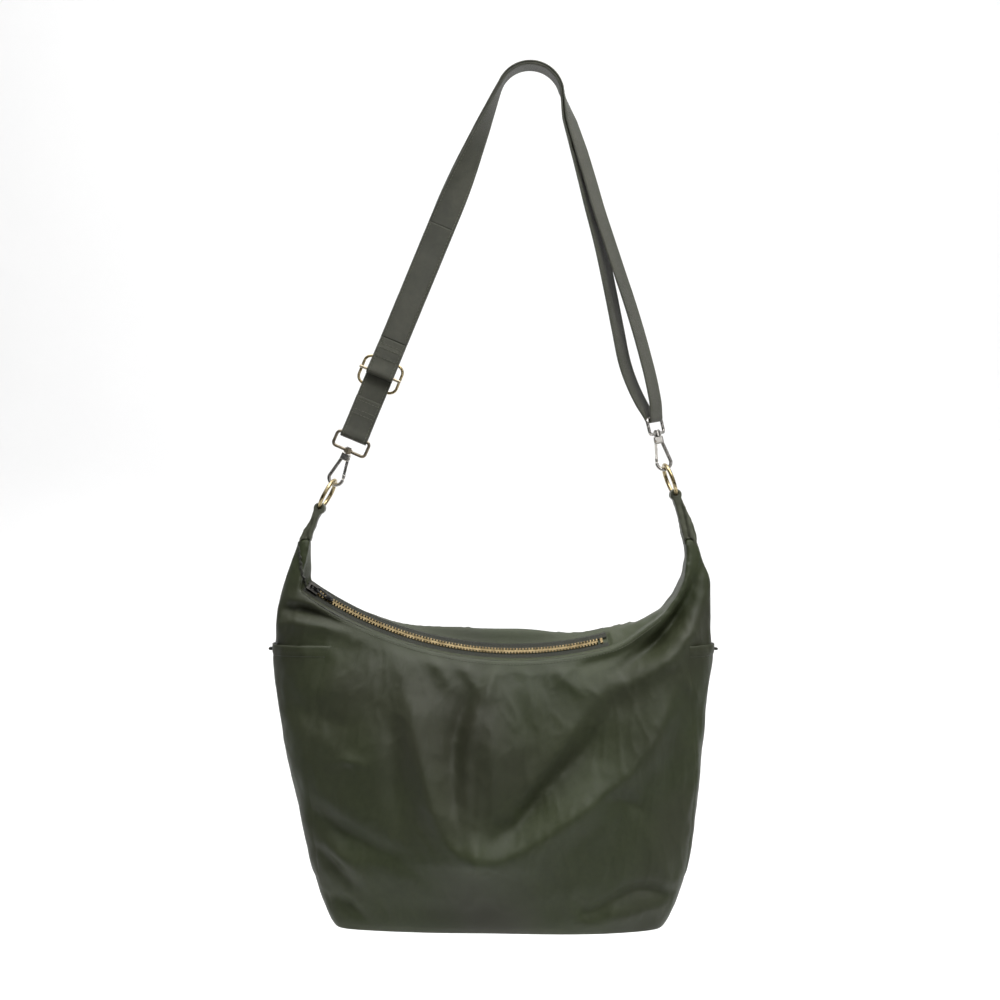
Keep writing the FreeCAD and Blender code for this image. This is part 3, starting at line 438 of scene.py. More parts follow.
for b in range(0, 181, 20):
    n = N_R * math.cos(rad(b)) + P_R * math.sin(rad(b))
    web.append((BAR_R + n * FOLD, T_R.copy(), n))
for z, xo, xi in reversed(RIGHT_RUN):
    web.append(right(z, xi, False))
web += arch_sections(28.0, RIGHT_TILT, 180 - TILT, 17, False)
TOP_S = -205.0
for s in (-318, -300, -280, -260, -238, -215, TOP_S):
    web.append(flip(leg(s, -OFF, twist_left(s))))

GLIDE = -61.0
BAR_OFF = -(0.1 + 1.8 + 0.15 + 1.3)
LOOP_R = 1.3 + 0.15 + 0.9
TAIL = -(0.1 + 0.9)
STUB_TOP = -93.0
run = [flip(leg(s, -OFF, twist_left(s))) for s in (TOP_S, -197, -175, -150, -120, STUB_TOP)]
loop = [flip(leg(s, o, 90)) for s, o in ((STUB_TOP, -OFF), (-87, -1.9), (-83, TAIL - 2.0), (-77, -3.3), (-71, -4.0), (-65, -5.2))]
for b in range(0, 181, 20):
    n = Y * -math.cos(rad(b)) + E_L * math.sin(rad(b))
    c, w, _ = leg(GLIDE, BAR_OFF, 90)
    loop.append((c + n * LOOP_R, L_L.copy(), n))
loop += [leg(-65, TAIL, 90), leg(-73, TAIL, 90), leg(-81, TAIL, 90)]


def resample(sections, step):
    """Even, smooth sections along the webbing: centres on a Catmull-Rom line, directions turned evenly."""
    C = [s[0] for s in sections]
    out = []
    n = len(C)
    for i in range(n - 1):
        p0, p1, p2, p3 = C[max(i - 1, 0)], C[i], C[i + 1], C[min(i + 2, n - 1)]
        ln = (p2 - p1).length
        k = max(1, int(math.ceil(ln / step)))
        d0, d1, d2 = max((p1 - p0).length, 1e-3), max(ln, 1e-3), max((p3 - p2).length, 1e-3)
        m1 = ((p1 - p0) / d0 + (p2 - p1) / d1) * 0.5 if i > 0 else (p2 - p1) / d1
        m2 = ((p2 - p1) / d1 + (p3 - p2) / d2) * 0.5 if i < n - 2 else (p2 - p1) / d1
        for j in range(k):
            f = j / k
            h = ((2 * f ** 3 - 3 * f ** 2 + 1) * p1 + (f ** 3 - 2 * f ** 2 + f) * m1 * ln
                 + (-2 * f ** 3 + 3 * f ** 2) * p2 + (f ** 3 - f ** 2) * m2 * ln)
            w = sections[i][1].lerp(sections[i + 1][1], f).normalized()
            nn = sections[i][2].lerp(sections[i + 1][2], f)
            nn = (nn - w * nn.dot(w)).normalized()
            out.append((h, w, nn))
    out.append(sections[-1])
    return out


HALF = [(12.46, 0.0), (12.43, 0.34), (12.3, 0.62), (12.0, 0.8), (11.5, 0.88), (10.9, 0.88), (10.55, 0.82), (10.35, 0.7), (10.1, 0.7),
        (9.9, 0.8), (9.4, 0.86), (7.5, 0.87), (5.0, 0.87), (2.5, 0.87)]
PROFILE = [(u, v) for u, v in HALF] + [(0.0, 0.87)] + [(-u, v) for u, v in reversed(HALF)] + [(-u, -v) for u, v in HALF[1:]] + [(0.0, -0.87)] + [(u, -v) for u, v in reversed(HALF[1:])]


def webbing(name, sections, body, step=1.6, seed=0.0, wobble=0.18):
    rows = resample(sections, step)
    verts, uvs, faces = [], [], []
    m = len(PROFILE)
    run_len = 0.0
    for i, (c, w, n) in enumerate(rows):
        if i:
            run_len += (c - rows[i - 1][0]).length
        end = min(run_len, 1.0)
        for u, v in PROFILE:
            edge = noise.noise(V((run_len * 0.11 + seed, u * 0.02, 3.1))) * wobble * 0.35
            uu = u * (1 + edge / 12.5)
            verts.append(c + w * uu + n * v)
            uvs.append((run_len * MM, (u + (30 if v < 0 else 0)) * MM))
    for i in range(len(rows) - 1):
        for j in range(m):
            k = (j + 1) % m
            faces.append((i * m + j, i * m + k, (i + 1) * m + k, (i + 1) * m + j))
    faces.append(tuple(reversed(range(m))))
    faces.append(tuple((len(rows) - 1) * m + j for j in range(m)))
    ob = mesh_object(name, verts, faces, uvs)
    bm = bmesh.new()
    bm.from_mesh(ob.data)
    bmesh.ops.recalc_face_normals(bm, faces=bm.faces)
    bm.to_mesh(ob.data)
    bm.free()
    for p in ob.data.polygons:
        p.use_smooth = len(p.vertices) < 5
    paint(ob, WEBBING)
    return ob, rows


strap_ob, strap_rows = webbing("strap_band", web, "strap")
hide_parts("strap_webbing")
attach(strap_ob, "strap")
run_ob, run_rows = webbing("strap_run_band", run, "strap", seed=4.0)
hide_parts("strap_adjusting_run")
loop_ob, loop_rows = webbing("strap_end_band", loop, "adjuster", step=1.0, seed=9.0)
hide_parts("strap_sewn_end")
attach(loop_ob, "adjuster")


def edge_stitches(rows, skip=()):
    items = []
    for side in (-1, 1):
        for face in (-1, 1):
            path = [(c + w * (10.1 * side) + n * (0.78 * face), n * face) for c, w, n in rows]
            items += stitches_on("x", path, 3.4, 2.4, 0.27, 0.04)
    return items


def cross_rows(rows, at_s, face, z_of, half=9.2):
    """Rows of stitches across the webbing."""
    items = []
    for c, w, n in at_s:
        u = -half
        while u + 2.2 <= half:
            p = c + w * u + n * (0.86 * face)
            q = c + w * (u + 2.2) + n * (0.86 * face)
            items.append((p, q, 0.28))
            u += 3.2
    return items


for name, rows, body in (("strap_stitches", strap_rows, "strap"), ("strap_run_stitches", run_rows, "strap"), ("strap_end_stitches", loop_rows, "adjuster")):
    items = edge_stitches(rows)
    if name == "strap_stitches":
        for s in (-20.0, -24.0, -32.5):
            c, w, n = leg(s, -OFF, 90)
            items += cross_rows(None, [(c, w, n * -1)], 1, None)
            c, w, n = leg(s, OFF, 90)
            items += cross_rows(None, [(c, w, n)], 1, None)
    if name == "strap_end_stitches":
        for s, o in ((-87.5, -1.8), (-83.5, -2.9), (-75.0, -3.55)):
            c, w, n = leg(s, o, 90)
            items += cross_rows(None, [(c, w, n * -1)], 1.12, None)
    vv, ff = capsule_mesh(items, 5)
    st = mesh_object(name, vv, ff)
    paint(st, THREAD)
    if name == "strap_run_stitches":
        run_stitches = st
    else:
        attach(st, body)
for ob in (run_ob, run_stitches):
    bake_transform(ob)

# ------------------------------------------------------------------ bag
XC = -33.8
FORM = [
    (-768.5, 140.0, 151.0, 46.0, 1.00, 4.6), (-764.5, 143.0, 154.5, 50.0, 1.00, 4.2), (-757.0, 147.0, 159.0, 54.0, 1.00, 3.7),
    (-745.0, 152.0, 165.0, 56.5, 1.02, 3.3), (-715.0, 161.0, 174.0, 58.0, 1.05, 3.0), (-680.0, 169.5, 180.0, 57.5, 1.08, 2.9),
    (-640.0, 179.0, 185.0, 55.0, 1.07, 2.8), (-600.0, 187.5, 189.5, 51.0, 1.02, 2.8), (-565.0, 193.0, 192.5, 45.5, 0.92, 2.8),
    (-540.0, 195.0, 195.0, 41.5, 0.72, 2.8), (-520.0, 195.5, 196.8, 38.5, 0.52, 2.8), (-500.0, 194.0, 196.8, 34.5, 0.43, 2.8),
    (-480.0, 191.5, 196.2, 31.0, 0.43, 2.8), (-460.0, 187.0, 195.0, 26.5, 0.46, 2.8), (-440.0, 179.8, 188.0, 22.5, 0.50, 2.8),
    (-424.0, 173.8, 183.2, 19.0, 0.55, 2.8),
]


def hermite_rows(table, step):
    """Smooth rows between the table's rows, along their first column."""
    T = np.array(table)
    z = T[:, 0]
    M = np.gradient(T, z, axis=0)
    out = []
    for i in range(len(z) - 1):
        h = z[i + 1] - z[i]
        k = max(2, int(round(h / step)))
        for j in range(k):
            f = j / k
            row = ((2 * f ** 3 - 3 * f ** 2 + 1) * T[i] + (f ** 3 - 2 * f ** 2 + f) * h * M[i]
                   + (-2 * f ** 3 + 3 * f ** 2) * T[i + 1] + (f ** 3 - f ** 2) * h * M[i + 1])
            row[0] = z[i] + f * h
            out.append(row)
    out.append(T[-1])
    return out


def outer_form(inset=0.0, count=150, step=4.0):
    rows = hermite_rows(FORM, step)
    verts, faces = [], []
    for z, left, right_, b, mid, n in rows:
        for i in range(count):
            ang = 2 * math.pi * i / count
            c, s = math.cos(ang), math.sin(ang)
            u = math.copysign(abs(c) ** (2.0 / n), c)
            v = math.copysign(abs(s) ** (2.0 / n), s)
            k = mid + (1 - mid) * (1 - math.exp(-((abs(u) / 0.72) ** 5)))
            verts.append((XC + ((right_ if u > 0 else left) - inset) * u, (b * k - inset) * v, z))
    for r in range(len(rows) - 1):
        for i in range(count):
            j = (i + 1) % count
            faces.append((r * count + i, r * count + j, (r + 1) * count + j, (r + 1) * count + i))
    faces.append(tuple(reversed(range(count))))
    faces.append(tuple((len(rows) - 1) * count + i for i in range(count)))
    return verts, faces


ZIP_C = V((-13.5, 0, -200.2))
ZIP_R = 325.0
TAN = math.tan(rad(40.0))
STRIP = 6.5
MOUTH = [
    (-60.2, 201.1, 0.0, 0.0, 0.0), (-42.1, 269.1, 0.0, 0.0, 0.0), (-39.3, 290.6, 0.0, 0.0, 0.0), (-37.4, 305.2, 0.4, -0.15, 0.0),
    (-36.0, 319.0, 1.0, -0.35, 0.0), (-35.3, 325.0, 1.0, -0.35, 0.02), (-28.0, 325.0, 1.0, -0.33, 0.05), (-26.0, 325.0, 1.0, -0.26, 0.05), (-23.0, 325.0, 1.0, 0.0, 0.05),
    (-19.8, 325.0, 1.0, 0.15, 0.05), (-14.5, 325.0, 1.0, 0.27, 0.05), (-8.0, 325.0, 1.0, 0.62, 0.05), (1.0, 325.0, 1.0, 0.83, 0.05),
    (7.2, 325.0, 1.0, 0.66, 0.05), (12.3, 325.0, 1.0, 0.57, 0.05), (15.5, 325.0, 1.0, 0.50, 0.05), (17.5, 324.2, 0.8, 0.40, 0.04), (19.3, 322.4, 0.6, 0.22, 0.03),
    (21.9, 319.9, 0.35, -0.08, 0.0), (24.7, 316.8, 0.15, -0.06, 0.0), (27.7, 309.2, 0.0, 0.0, 0.0),
    (30.3, 298.6, 0.0, 0.0, 0.0), (32.7, 284.6, 0.0, 0.0, 0.0), (34.1, 271.6, 0.0, 0.0, 0.0), (36.7, 249.5, 0.0, 0.0, 0.0), (55.2, 174.7, 0.0, 0.0, 0.0),
]
MT = np.array(MOUTH)


def mouth_r(a, y):
    """Radius of the mouth's surface about the zip's centre, at angle a in degrees and depth y."""
    a, y = np.asarray(a, float), np.asarray(y, float)
    r = np.interp(a, MT[:, 0], MT[:, 1])
    strip = np.clip(y, -STRIP, STRIP)
    k = np.where(y > 0, np.interp(a, MT[:, 0], MT[:, 3]), np.interp(a, MT[:, 0], MT[:, 4]))
    return r - TAN * (strip * np.interp(a, MT[:, 0], MT[:, 2]) + (y - strip) * k)


def scoop_mesh():
    angles = sorted(set([row[0] for row in MOUTH] + [float(k) for k in range(-35, 16)]))
    ys = (-90.0, -STRIP, STRIP, 90.0)
    verts, faces = [], []
    m = len(angles)
    for y in ys:
        for a in angles:
            r = float(mouth_r(a, y))
            verts.append((ZIP_C.x + r * math.sin(rad(a)), y, ZIP_C.z - r * math.cos(rad(a))))
    for k in range(3):
        for i in range(m):
            j = (i + 1) % m
            faces.append((k * m + i, k * m + j, (k + 1) * m + j, (k + 1) * m + i))
    faces.append(tuple(reversed(range(m))))
    faces.append(tuple(3 * m + i for i in range(m)))
    return verts, faces


def fix_normals(ob, tri=False):
    bm = bmesh.new()
    bm.from_mesh(ob.data)
    if tri:
        bmesh.ops.triangulate(bm, faces=bm.faces)
    bmesh.ops.recalc_face_normals(bm, faces=bm.faces)
    bm.to_mesh(ob.data)
    bm.free()


bag = mesh_object("bag_shell", *outer_form())
fix_normals(bag, True)
scoop = mesh_object("scoop", *scoop_mesh())
fix_normals(scoop, True)
modify(bag, "BOOLEAN", operation="DIFFERENCE", solver="EXACT", object=scoop)
modify(bag, "REMESH", mode="VOXEL", voxel_size=1.7 * MM)
apply_all(bag)
bpy.data.objects.remove(scoop)

FOLDS = [  # crest or valley lines on the front: (x, z, height) in mm, then the reach to the left and to the right of the line
    ([(-122.7, -510.7, 1), (-114, -541.1, 3), (-104.5, -575.8, 5.5), (-96.5, -610.5, 7), (-88.7, -641.0, 7.5), (-80.0, -668.0, 7.2), (-65.5, -690.5, 6.0), (-46.4, -701.0, 4.6)], 17, 12),
    ([(-46.4, -701.0, 4.6), (-25.3, -697.5, 6.5), (1.0, -685.0, 8), (27.0, -669.0, 8.5), (52.0, -651.5, 8.5), (80.0, -630.0, 7.5), (106.0, -600.0, 6), (124.0, -562.0, 4), (131.5, -530.0, 2)], 14, 15),
    ([(88.0, -550.0, -2.5), (68.0, -580.0, -5), (48.5, -606.0, -7), (19.0, -636.0, -7.5), (-6.0, -664.0, -7), (-28.0, -684.0, -4.0)], 13, 13),
    ([(-34.0, -566.0, 1), (-36.0, -600.0, 4), (-33.0, -640.0, 4.5), (-36.0, -676.0, 3.5), (-42.0, -700.0, 1.5)], 13, 12),
    ([(150.0, -474.0, -1.5), (140.0, -486.0, -4.0), (124.0, -504.0, -5.5), (104.0, -521.0, -5.0), (84.0, -534.0, -3.0), (62.0, -546.0, -1.0)], 9, 8),
    ([(146.0, -496.0, 1.0), (128.0, -520.0, 3.0), (106.0, -538.0, 3.0), (84.0, -550.0, 1.5)], 8, 9),
    ([(60.0, -560.0, 1), (30.0, -600.0, 2.5), (4.0, -632.0, 3), (-16.0, -662.0, 2.5)], 9, 9),
    ([(-47.8, -552.4, -1.5), (-58.2, -571.5, -3.6), (-65.2, -595.8, -4.4), (-67.8, -621.8, -3.4), (-66.1, -649.6, -1.5)], 7.5, 7.5),
    ([(-37.4, -552.4, 2), (-47.8, -576.7, 4), (-53.9, -604.4, 4), (-55.6, -640.9, 3.2), (-53, -675.6, 2.6), (-49.6, -699.9, 1.5)], 7, 7),
    ([(-41.8, -614.8, 0.5), (-45.2, -649.6, 1.8), (-45.2, -693, 1.5)], 4, 5),
    ([(-103.4, -510.7, 1), (-92.1, -523.7, 2), (-80.8, -535, 2), (-70.4, -554.1, 1)], 6, 6),
    ([(-72.1, -517.6, 1), (-60, -535, 2.2), (-47.8, -554.1, 1.5)], 7, 7),
    ([(-21.8, -529.8, 1), (-32.2, -541.9, 2), (-37.4, -562.8, 1)], 5, 5),
    ([(-6.2, -535, 1), (1.6, -562.8, 2.5), (8.6, -593.1, 1)], 6, 8),
    ([(18.1, -531.5, 0.5), (30.3, -547.1, 2), (52.8, -562.8, 0.5)], 6, 6),
    ([(-193.6, -656.5, -2), (-174.5, -672.1, -5), (-146.8, -686, -5.5), (-115.5, -701.6, -4), (-92.1, -719, -2)], 12, 11),
    ([(-181.5, -647.8, 1), (-161.5, -665.2, 2.5), (-131.1, -682.5, 1.5)], 12, 9),
    ([(-188.4, -694.7, -2), (-172.8, -708.6, -4), (-157.2, -725.9, -2)], 6, 6),
    ([(-181.5, -689.5, 1), (-164.1, -703.4, 2.5), (-146.8, -719, 1)], 7, 7),
    ([(-171.1, -739.8, -2), (-157.2, -748.5, -3.5), (-143.3, -760.6, -2)], 5, 5),
    ([(40.7, -738.1, -1.5), (47.6, -748.5, -4), (68.5, -740.7, -4), (94.5, -729.4, -4), (122.3, -733.7, -3)], 6, 6),
    ([(52.8, -760.6, 2), (81.5, -753.7, 3), (113.6, -743.3, 2)], 9, 7),
    ([(66.0, -650.0, -1.5), (82.0, -650.0, -4.0), (95.0, -660.0, -3), (103.0, -674.0, -1)], 8, 8),
    ([(94.5, -649.6, 0.5), (103.2, -684.3, 2), (118.8, -723.3, 2)], 8, 10),
    ([(38.1, -701.6, 0.5), (59.8, -679.9, 2.2), (81.5, -649.6, 1)], 12, 10),
    ([(153.5, -449.9, -2), (144.8, -467.3, -6.5), (133.6, -483.8, -9), (122.3, -502, -9), (110.1, -516.8, -7), (98.8, -524.6, -3)], 7, 6),
    ([(125.7, -479.5, -1.5), (108.4, -502, -3.5), (91, -517.6, -5), (70.2, -526.3, -5), (49.4, -532.4, -3.5)], 7, 6),
    ([(141.4, -467.3, 1), (120.5, -493.3, 3), (99.7, -515.9, 3), (72.8, -531.5, 1.5)], 6, 6),
    ([(150, -476, 2.5), (141.4, -500.3, 4), (122.3, -529.8, 4.2), (94.5, -547.1, 3), (59.8, -557.6, 1.5)], 10, 13),
    ([(-216.2, -486.4, -3), (-202.3, -486.4, -6.5), (-186.7, -489.9, -7), (-171.1, -494.2, -6.5), (-158.9, -495.9, -3)], 4.2, 4.2),
    ([(-212.7, -476.9, 1.5), (-195.4, -479.5, 3), (-174.5, -484.7, 3), (-161.5, -489.9, 1)], 6, 4.5),
    ([(-216.2, -496.8, 2), (-196.2, -499.4, 3.5), (-165.9, -503.8, 3), (-131.1, -510.7, 1.5)], 5, 9),
    ([(-207.5, -573.2, -2), (-178.9, -581.9, -3), (-158.9, -588.8, -2)], 14, 14),
    ([(132.7, -531.5, 0.5), (137.9, -550.6, 2.5), (146.6, -564.5, 1.5)], 3.5, 4),
    ([(144, -593.1, 1), (145.7, -619.2, 2.5), (144, -640.9, 2), (137.9, -662.6, 1)], 4, 4),
    ([(131, -562.8, -1), (125.7, -597.5, -2.5), (122.3, -640.9, -2.5), (125.7, -684.3, -1)], 8, 8),
    ([(-174.5, -619.2, 0.5), (-161.5, -616.6, 2), (-138.1, -621.8, 0.5)], 6, 4),
    ([(-117.3, -554.1, -1), (-120.7, -597.5, -2.2), (-117.3, -649.6, -2.2), (-106.8, -693, -1)], 12, 8),
    ([(115.3, -493.3, 0.5), (129.2, -510.7, 1.5), (146.6, -507.2, 0.5)], 5, 5),
]


def ridge_field(X, Z, pts, left, right_):
    """Height of one fold at each point: its crest follows the line, and each side falls away by its own reach."""
    P = np.array(pts, float)
    # an even, curved line through the points
    t = np.concatenate([[0], np.cumsum(np.hypot(np.diff(P[:, 0]), np.diff(P[:, 1])))])
    tt = np.linspace(0, t[-1], max(8, int(t[-1] / 5)))
    G = np.gradient(P, t, axis=0)
    Q = []
    for s in tt:
        i = min(np.searchsorted(t, s, side="right") - 1, len(t) - 2)
        h = t[i + 1] - t[i]
        f = (s - t[i]) / h
        Q.append((2 * f ** 3 - 3 * f ** 2 + 1) * P[i] + (f ** 3 - 2 * f ** 2 + f) * h * G[i]
                 + (-2 * f ** 3 + 3 * f ** 2) * P[i + 1] + (f ** 3 - f ** 2) * h * G[i + 1])
    Q = np.array(Q)
    reach = 3.2 * max(left, right_)
    near = (X > Q[:, 0].min() - reach) & (X < Q[:, 0].max() + reach) & (Z > Q[:, 1].min() - reach) & (Z < Q[:, 1].max() + reach)
    H = np.zeros(len(X))
    x, z = X[near], Z[near]
    if not len(x):
        return H
    best = np.full(len(x), 1e9)
    amp = np.zeros(len(x))
    sgn = np.zeros(len(x))
    over = np.zeros(len(x))
    n = len(Q) - 1
    for i in range(n):
        ax, az, ah = Q[i]
        bx, bz, bh = Q[i + 1]
        dx, dz = bx - ax, bz - az
        l2 = dx * dx + dz * dz
        raw = ((x - ax) * dx + (z - az) * dz) / l2
        f = np.clip(raw, 0, 1)
        px, pz = ax + f * dx, az + f * dz
        d = np.hypot(x - px, z - pz)
        m = d < best
        best[m] = d[m]
        amp[m] = (ah + (bh - ah) * f)[m]
        sgn[m] = (dx * (z - az) - dz * (x - ax))[m]
    w = np.where(sgn > 0, left, right_)
    u = best / w
    H[near] = amp * np.exp(-np.power(u, 1.7) * 0.9)
    return H


def fbm(P, scale, seed, octaves=2):
    """Smooth noise at each point of an n x 3 array."""
    out = np.empty(len(P))
    s = V((seed, seed * 0.7, -seed))
    for i, p in enumerate(P):
        q = V((p[0] * scale, p[1] * scale, p[2] * scale)) + s
        v = noise.noise(q)
        if octaves > 1:
            v += 0.5 * noise.noise(q * 2.03 + V((5.1, 1.7, 9.2)))
        out[i] = v
    return out


def shape_bag(P, N):
    """Move the plain form's points into folds: drapes and creases on the front, softer ones behind and at the sides."""
    X, Yv, Z = P[:, 0], P[:, 1], P[:, 2]
    a = np.degrees(np.arctan2(X - ZIP_C.x, ZIP_C.z - Z))
    r = np.hypot(X - ZIP_C.x, Z - ZIP_C.z)
    top_gap = r - mouth_r(a, Yv)                       # distance from the mouth's surface
    at_top = (top_gap < 1.4) & (np.abs(Yv) < 60) & (Z > -560)
    front = smooth01((-N[:, 1] - 0.15) / 0.5)
    backw = smooth01((N[:, 1] - 0.15) / 0.5)
    side = smooth01((np.abs(N[:, 0]) - 0.35) / 0.4)
    rim = smooth01((top_gap - 1.0) / 12.0)             # folds die out at the mouth's seams
    hem = smooth01((Z + 768.0) / 22.0)
    F = np.zeros(len(P))
    for k, (pts, left, right_) in enumerate(FOLDS):
        F += ridge_field(X, Z, pts, left, right_) * (1.2 if k < 4 else 1.1)
    # full belly in the middle, tucked in below
    F += 5.5 * np.exp(-(((X + 22) / 34) ** 2 + ((Z + 598) / 40) ** 2))
    F += 3.0 * np.exp(-(((X + 140) / 46) ** 2 + ((Z + 600) / 60) ** 2))
    F += 3.5 * np.exp(-(((X - 105) / 30) ** 2 + ((Z + 600) / 50) ** 2))
    F -= 3.5 * np.exp(-(((X + 62) / 88) ** 2 + ((Z + 750) / 27) ** 2))
    F += 3.0 * np.exp(-(((X + 45) / 60) ** 2 + ((Z + 705) / 22) ** 2))
    F -= 2.5 * np.exp(-(((X + 150) / 40) ** 2 + ((Z + 735) / 24) ** 2))
    lowf = fbm(P, 1 / 46.0, 3.0)
    midf = fbm(P * np.array([1.0, 1.0, 0.7]), 1 / 17.0, 11.0)
    # creases that run with the hang of the cloth: sharpened noise
    warp = fbm(P, 1 / 60.0, 23.0, 1) * 22
    S = np.stack([X + warp, Yv, Z * 0.34 + X * 0.12], 1)
    cre = fbm(S, 1 / 13.0, 31.0, 1)
    crease = 1.0 - np.sqrt(np.abs(cre) * 1.6 + 0.002)
    crease = np.clip(crease, -0.4, 1)
    d = front * rim * F
    d += front * rim * (lowf * 1.3 + midf * 0.7 + np.clip(crease - 0.35, 0, 1) * 1.1)
    # behind: long soft drapes from the wings to the base
    B = 4.5 * np.exp(-((Z + 560 + 0.0016 * (X + 30) ** 2 - 60) / 22) ** 2) * 0
    for k, (cx, w, h, lean) in enumerate(((-130, 16, 3.6, 0.35), (-95, 12, -3.0, 0.3), (-52, 18, 3.8, 0.12), (-12, 12, -3.2, -0.1), (26, 17, 4.0, -0.25), (66, 12, -3.0, -0.4), (100, 15, 3.2, -0.5))):
        line = cx - lean * (Z + 640) + 9 * np.sin(Z / 41.0 + k * 1.7)
        B += h * np.exp(-((X - line) / w) ** 2) * smooth01((-520 - Z) / 50) * (0.55 + 0.45 * np.cos((Z + 660) / 70.0 + k))
    d += backw * rim * hem * (B + lowf * 2.0 + midf * 0.7 + np.clip(crease - 0.3, 0, 1) * 0.9)
    # sides: pinched bellows under each wing
    sy = np.abs(Yv)
    pinch = -4.0 * np.exp(-(Yv / 11.0) ** 2) * smooth01((-530 - Z) / 60) * smooth01((Z + 752) / 50)
    d += side * (pinch * 0.55 + lowf * 0.9 + midf * 0.8)
    wing = smooth01((Z + 560.0) / 50.0) * smooth01((np.abs(Yv) - 8.0) / 6.0) * smooth01((np.abs(X + 33.8) - 128.0) / 22.0) * (1 - at_top) * smooth01((top_gap - 4.0) / 10.0)
    slant = X * 0.8 + Z * 0.25
    d += wing * (0.9 * np.sin(slant / 3.1 + 1.6 * lowf) * (0.5 + 0.5 * midf) + 0.5 * midf)
    D = N * 0.35 * (d * front)[:, None]
    D[:, 1] -= 0.75 * d * front
    D += N * (d * (1 - front))[:, None]
    Q = P + D * hem[:, None]
    # the zip's own strip lies a little lower than the bands beside it
    along = smooth01((a + 36.4) / 0.8) * smooth01((15.6 - a) / 0.8)
    strip = 1 - smooth01((np.abs(Yv) - 6.0) / 1.6)
    sink = at_top * along * strip * 2.2
    rr = np.stack([X - ZIP_C.x, np.zeros(len(X)), Z - ZIP_C.z], 1) / np.maximum(r, 1)[:, None]
    Q += rr * sink[:, None]
    # the back's lip stands a little higher in the middle, and the base bows down
    lip = smooth01((Yv - 7.5) / 6.0) * smooth01((26.0 - top_gap) / 24.0) * (Z > -600)
    Q[:, 2] += lip * 7.5 * np.exp(-(((X + 38) / 66.0) ** 4))
    tuck = 13.0 * np.clip((-704.0 - Z) / 62.0, 0, 1.0) ** 1.15 * (0.35 + 0.65 * smooth01((70.0 - X) / 120.0))
    Q[:, 1] += tuck * np.clip(-Yv / 42.0, 0, 1)
    # the full front sits back a little, to stay within the bag's depth
    Q[:, 1] += 5.8 * smooth01((-Yv - 28.0) / 26.0)
    under = smooth01((-740.0 - Z) / 26.0)
    Q[:, 2] -= under * 3.4 * np.clip(1 - ((X - XC) / 142.0) ** 2, 0, 1)
    return Q, at_top


E = edges_of(bag)
P0 = relax(coords(bag), E, 6, 0.5)
set_coords(bag, P0)
Pb, at_top = shape_bag(P0, normals(bag))
Pb = relax(Pb, E, 2, 0.5, hold=at_top * 0.7)
set_coords(bag, Pb)
bag.data.polygons.foreach_set("use_smooth", [True] * len(bag.data.polygons))
paint(bag, NYLON)
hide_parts("front_panel", "back_panel", "left_gusset", "right_gusset", "base_panel", "left_wing", "right_wing")
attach(bag, "bag")
print("bag vertices", len(bag.data.vertices))
# ------------------------------------------------------------------ ring tabs
def tab_piece(side):
    src = frame["nodes"][side + "_ring_tab"]
    me = src.data.copy()
    me.materials.clear()
    ob = bpy.data.objects.new(side + "_tab_cloth", me)
    bpy.context.scene.collection.objects.link(ob)
    modify(ob, "REMESH", mode="VOXEL", voxel_size=0.6 * MM)
    apply_all(ob)
    E = edges_of(ob)
    P = relax(coords(ob), E, 5, 0.5)
    set_coords(ob, P)
    N = normals(ob)
    hold_z = BOX[side + "_ring_tab"][1][2] / MM - 6.0
    low = smooth01((hold_z - 4 - P[:, 2]) / 8)
    n = fbm(P * np.array([1.0, 1.0, 0.35]), 1 / 3.6, 7.0) * 0.55 + fbm(P, 1 / 9.0, 17.0) * 0.8
    # two folds gather the cloth below the ring
    lean = -0.30 if side == "left" else 0.22
    cx = (BOX[side + "_ring_tab"][0][0] + BOX[side + "_ring_tab"][1][0]) / 2 / MM
    u = P[:, 0] - cx - lean * (P[:, 2] - hold_z + 12) * -1
    n -= 1.9 * np.exp(-((u + 1.0) / 1.2) ** 2) * low * (np.abs(N[:, 1]) > 0.4)
    n -= 1.2 * np.exp(-((u - 2.6 + 0.08 * (P[:, 2] - hold_z)) / 0.9) ** 2) * low * (np.abs(N[:, 1]) > 0.4)
    P = P + N * (n * (0.25 + 0.75 * low))[:, None]
    P = relax(P, E, 1, 0.4)
    set_coords(ob, P)
    ob.data.polygons.foreach_set("use_smooth", [True] * len(ob.data.polygons))
    # The tabs take the brighter copy of the nylon: painted light.
    paint(ob, LIT_TAB_NYLON)
    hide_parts(side + "_ring_tab")
    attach(ob, "bag")
    return ob


tabs = {side: tab_piece(side) for side in ("left", "right")}

# ------------------------------------------------------------------ surface finder
bpy.context.view_layer.update()
_bag_v = [v.co.copy() for v in bag.data.vertices]
_bag_f = [tuple(p.vertices) for p in bag.data.polygons]
TREE = BVHTree.FromPolygons(_bag_v, _bag_f)


def on_bag(origin, direction):
    """(point, normal) in millimetres where a line first meets the bag."""
    hit = TREE.ray_cast(V(origin) * MM, V(direction))
    if hit[0] is None:
        return None
    return hit[0] / MM, hit[1]


def front_at(x, z):
    return on_bag((x, -200, z), (0, 1, 0))


def back_at(x, z):
    return on_bag((x, 200, z), (0, -1, 0))


def round_at(z, ang, cx):
    """The bag's surface at height z, seen from a centre line at cx, in direction ang (0 is +X)."""
    d = V((math.cos(ang), math.sin(ang), 0))
    return on_bag(V((cx, 0, z)) + d * 260, -d)


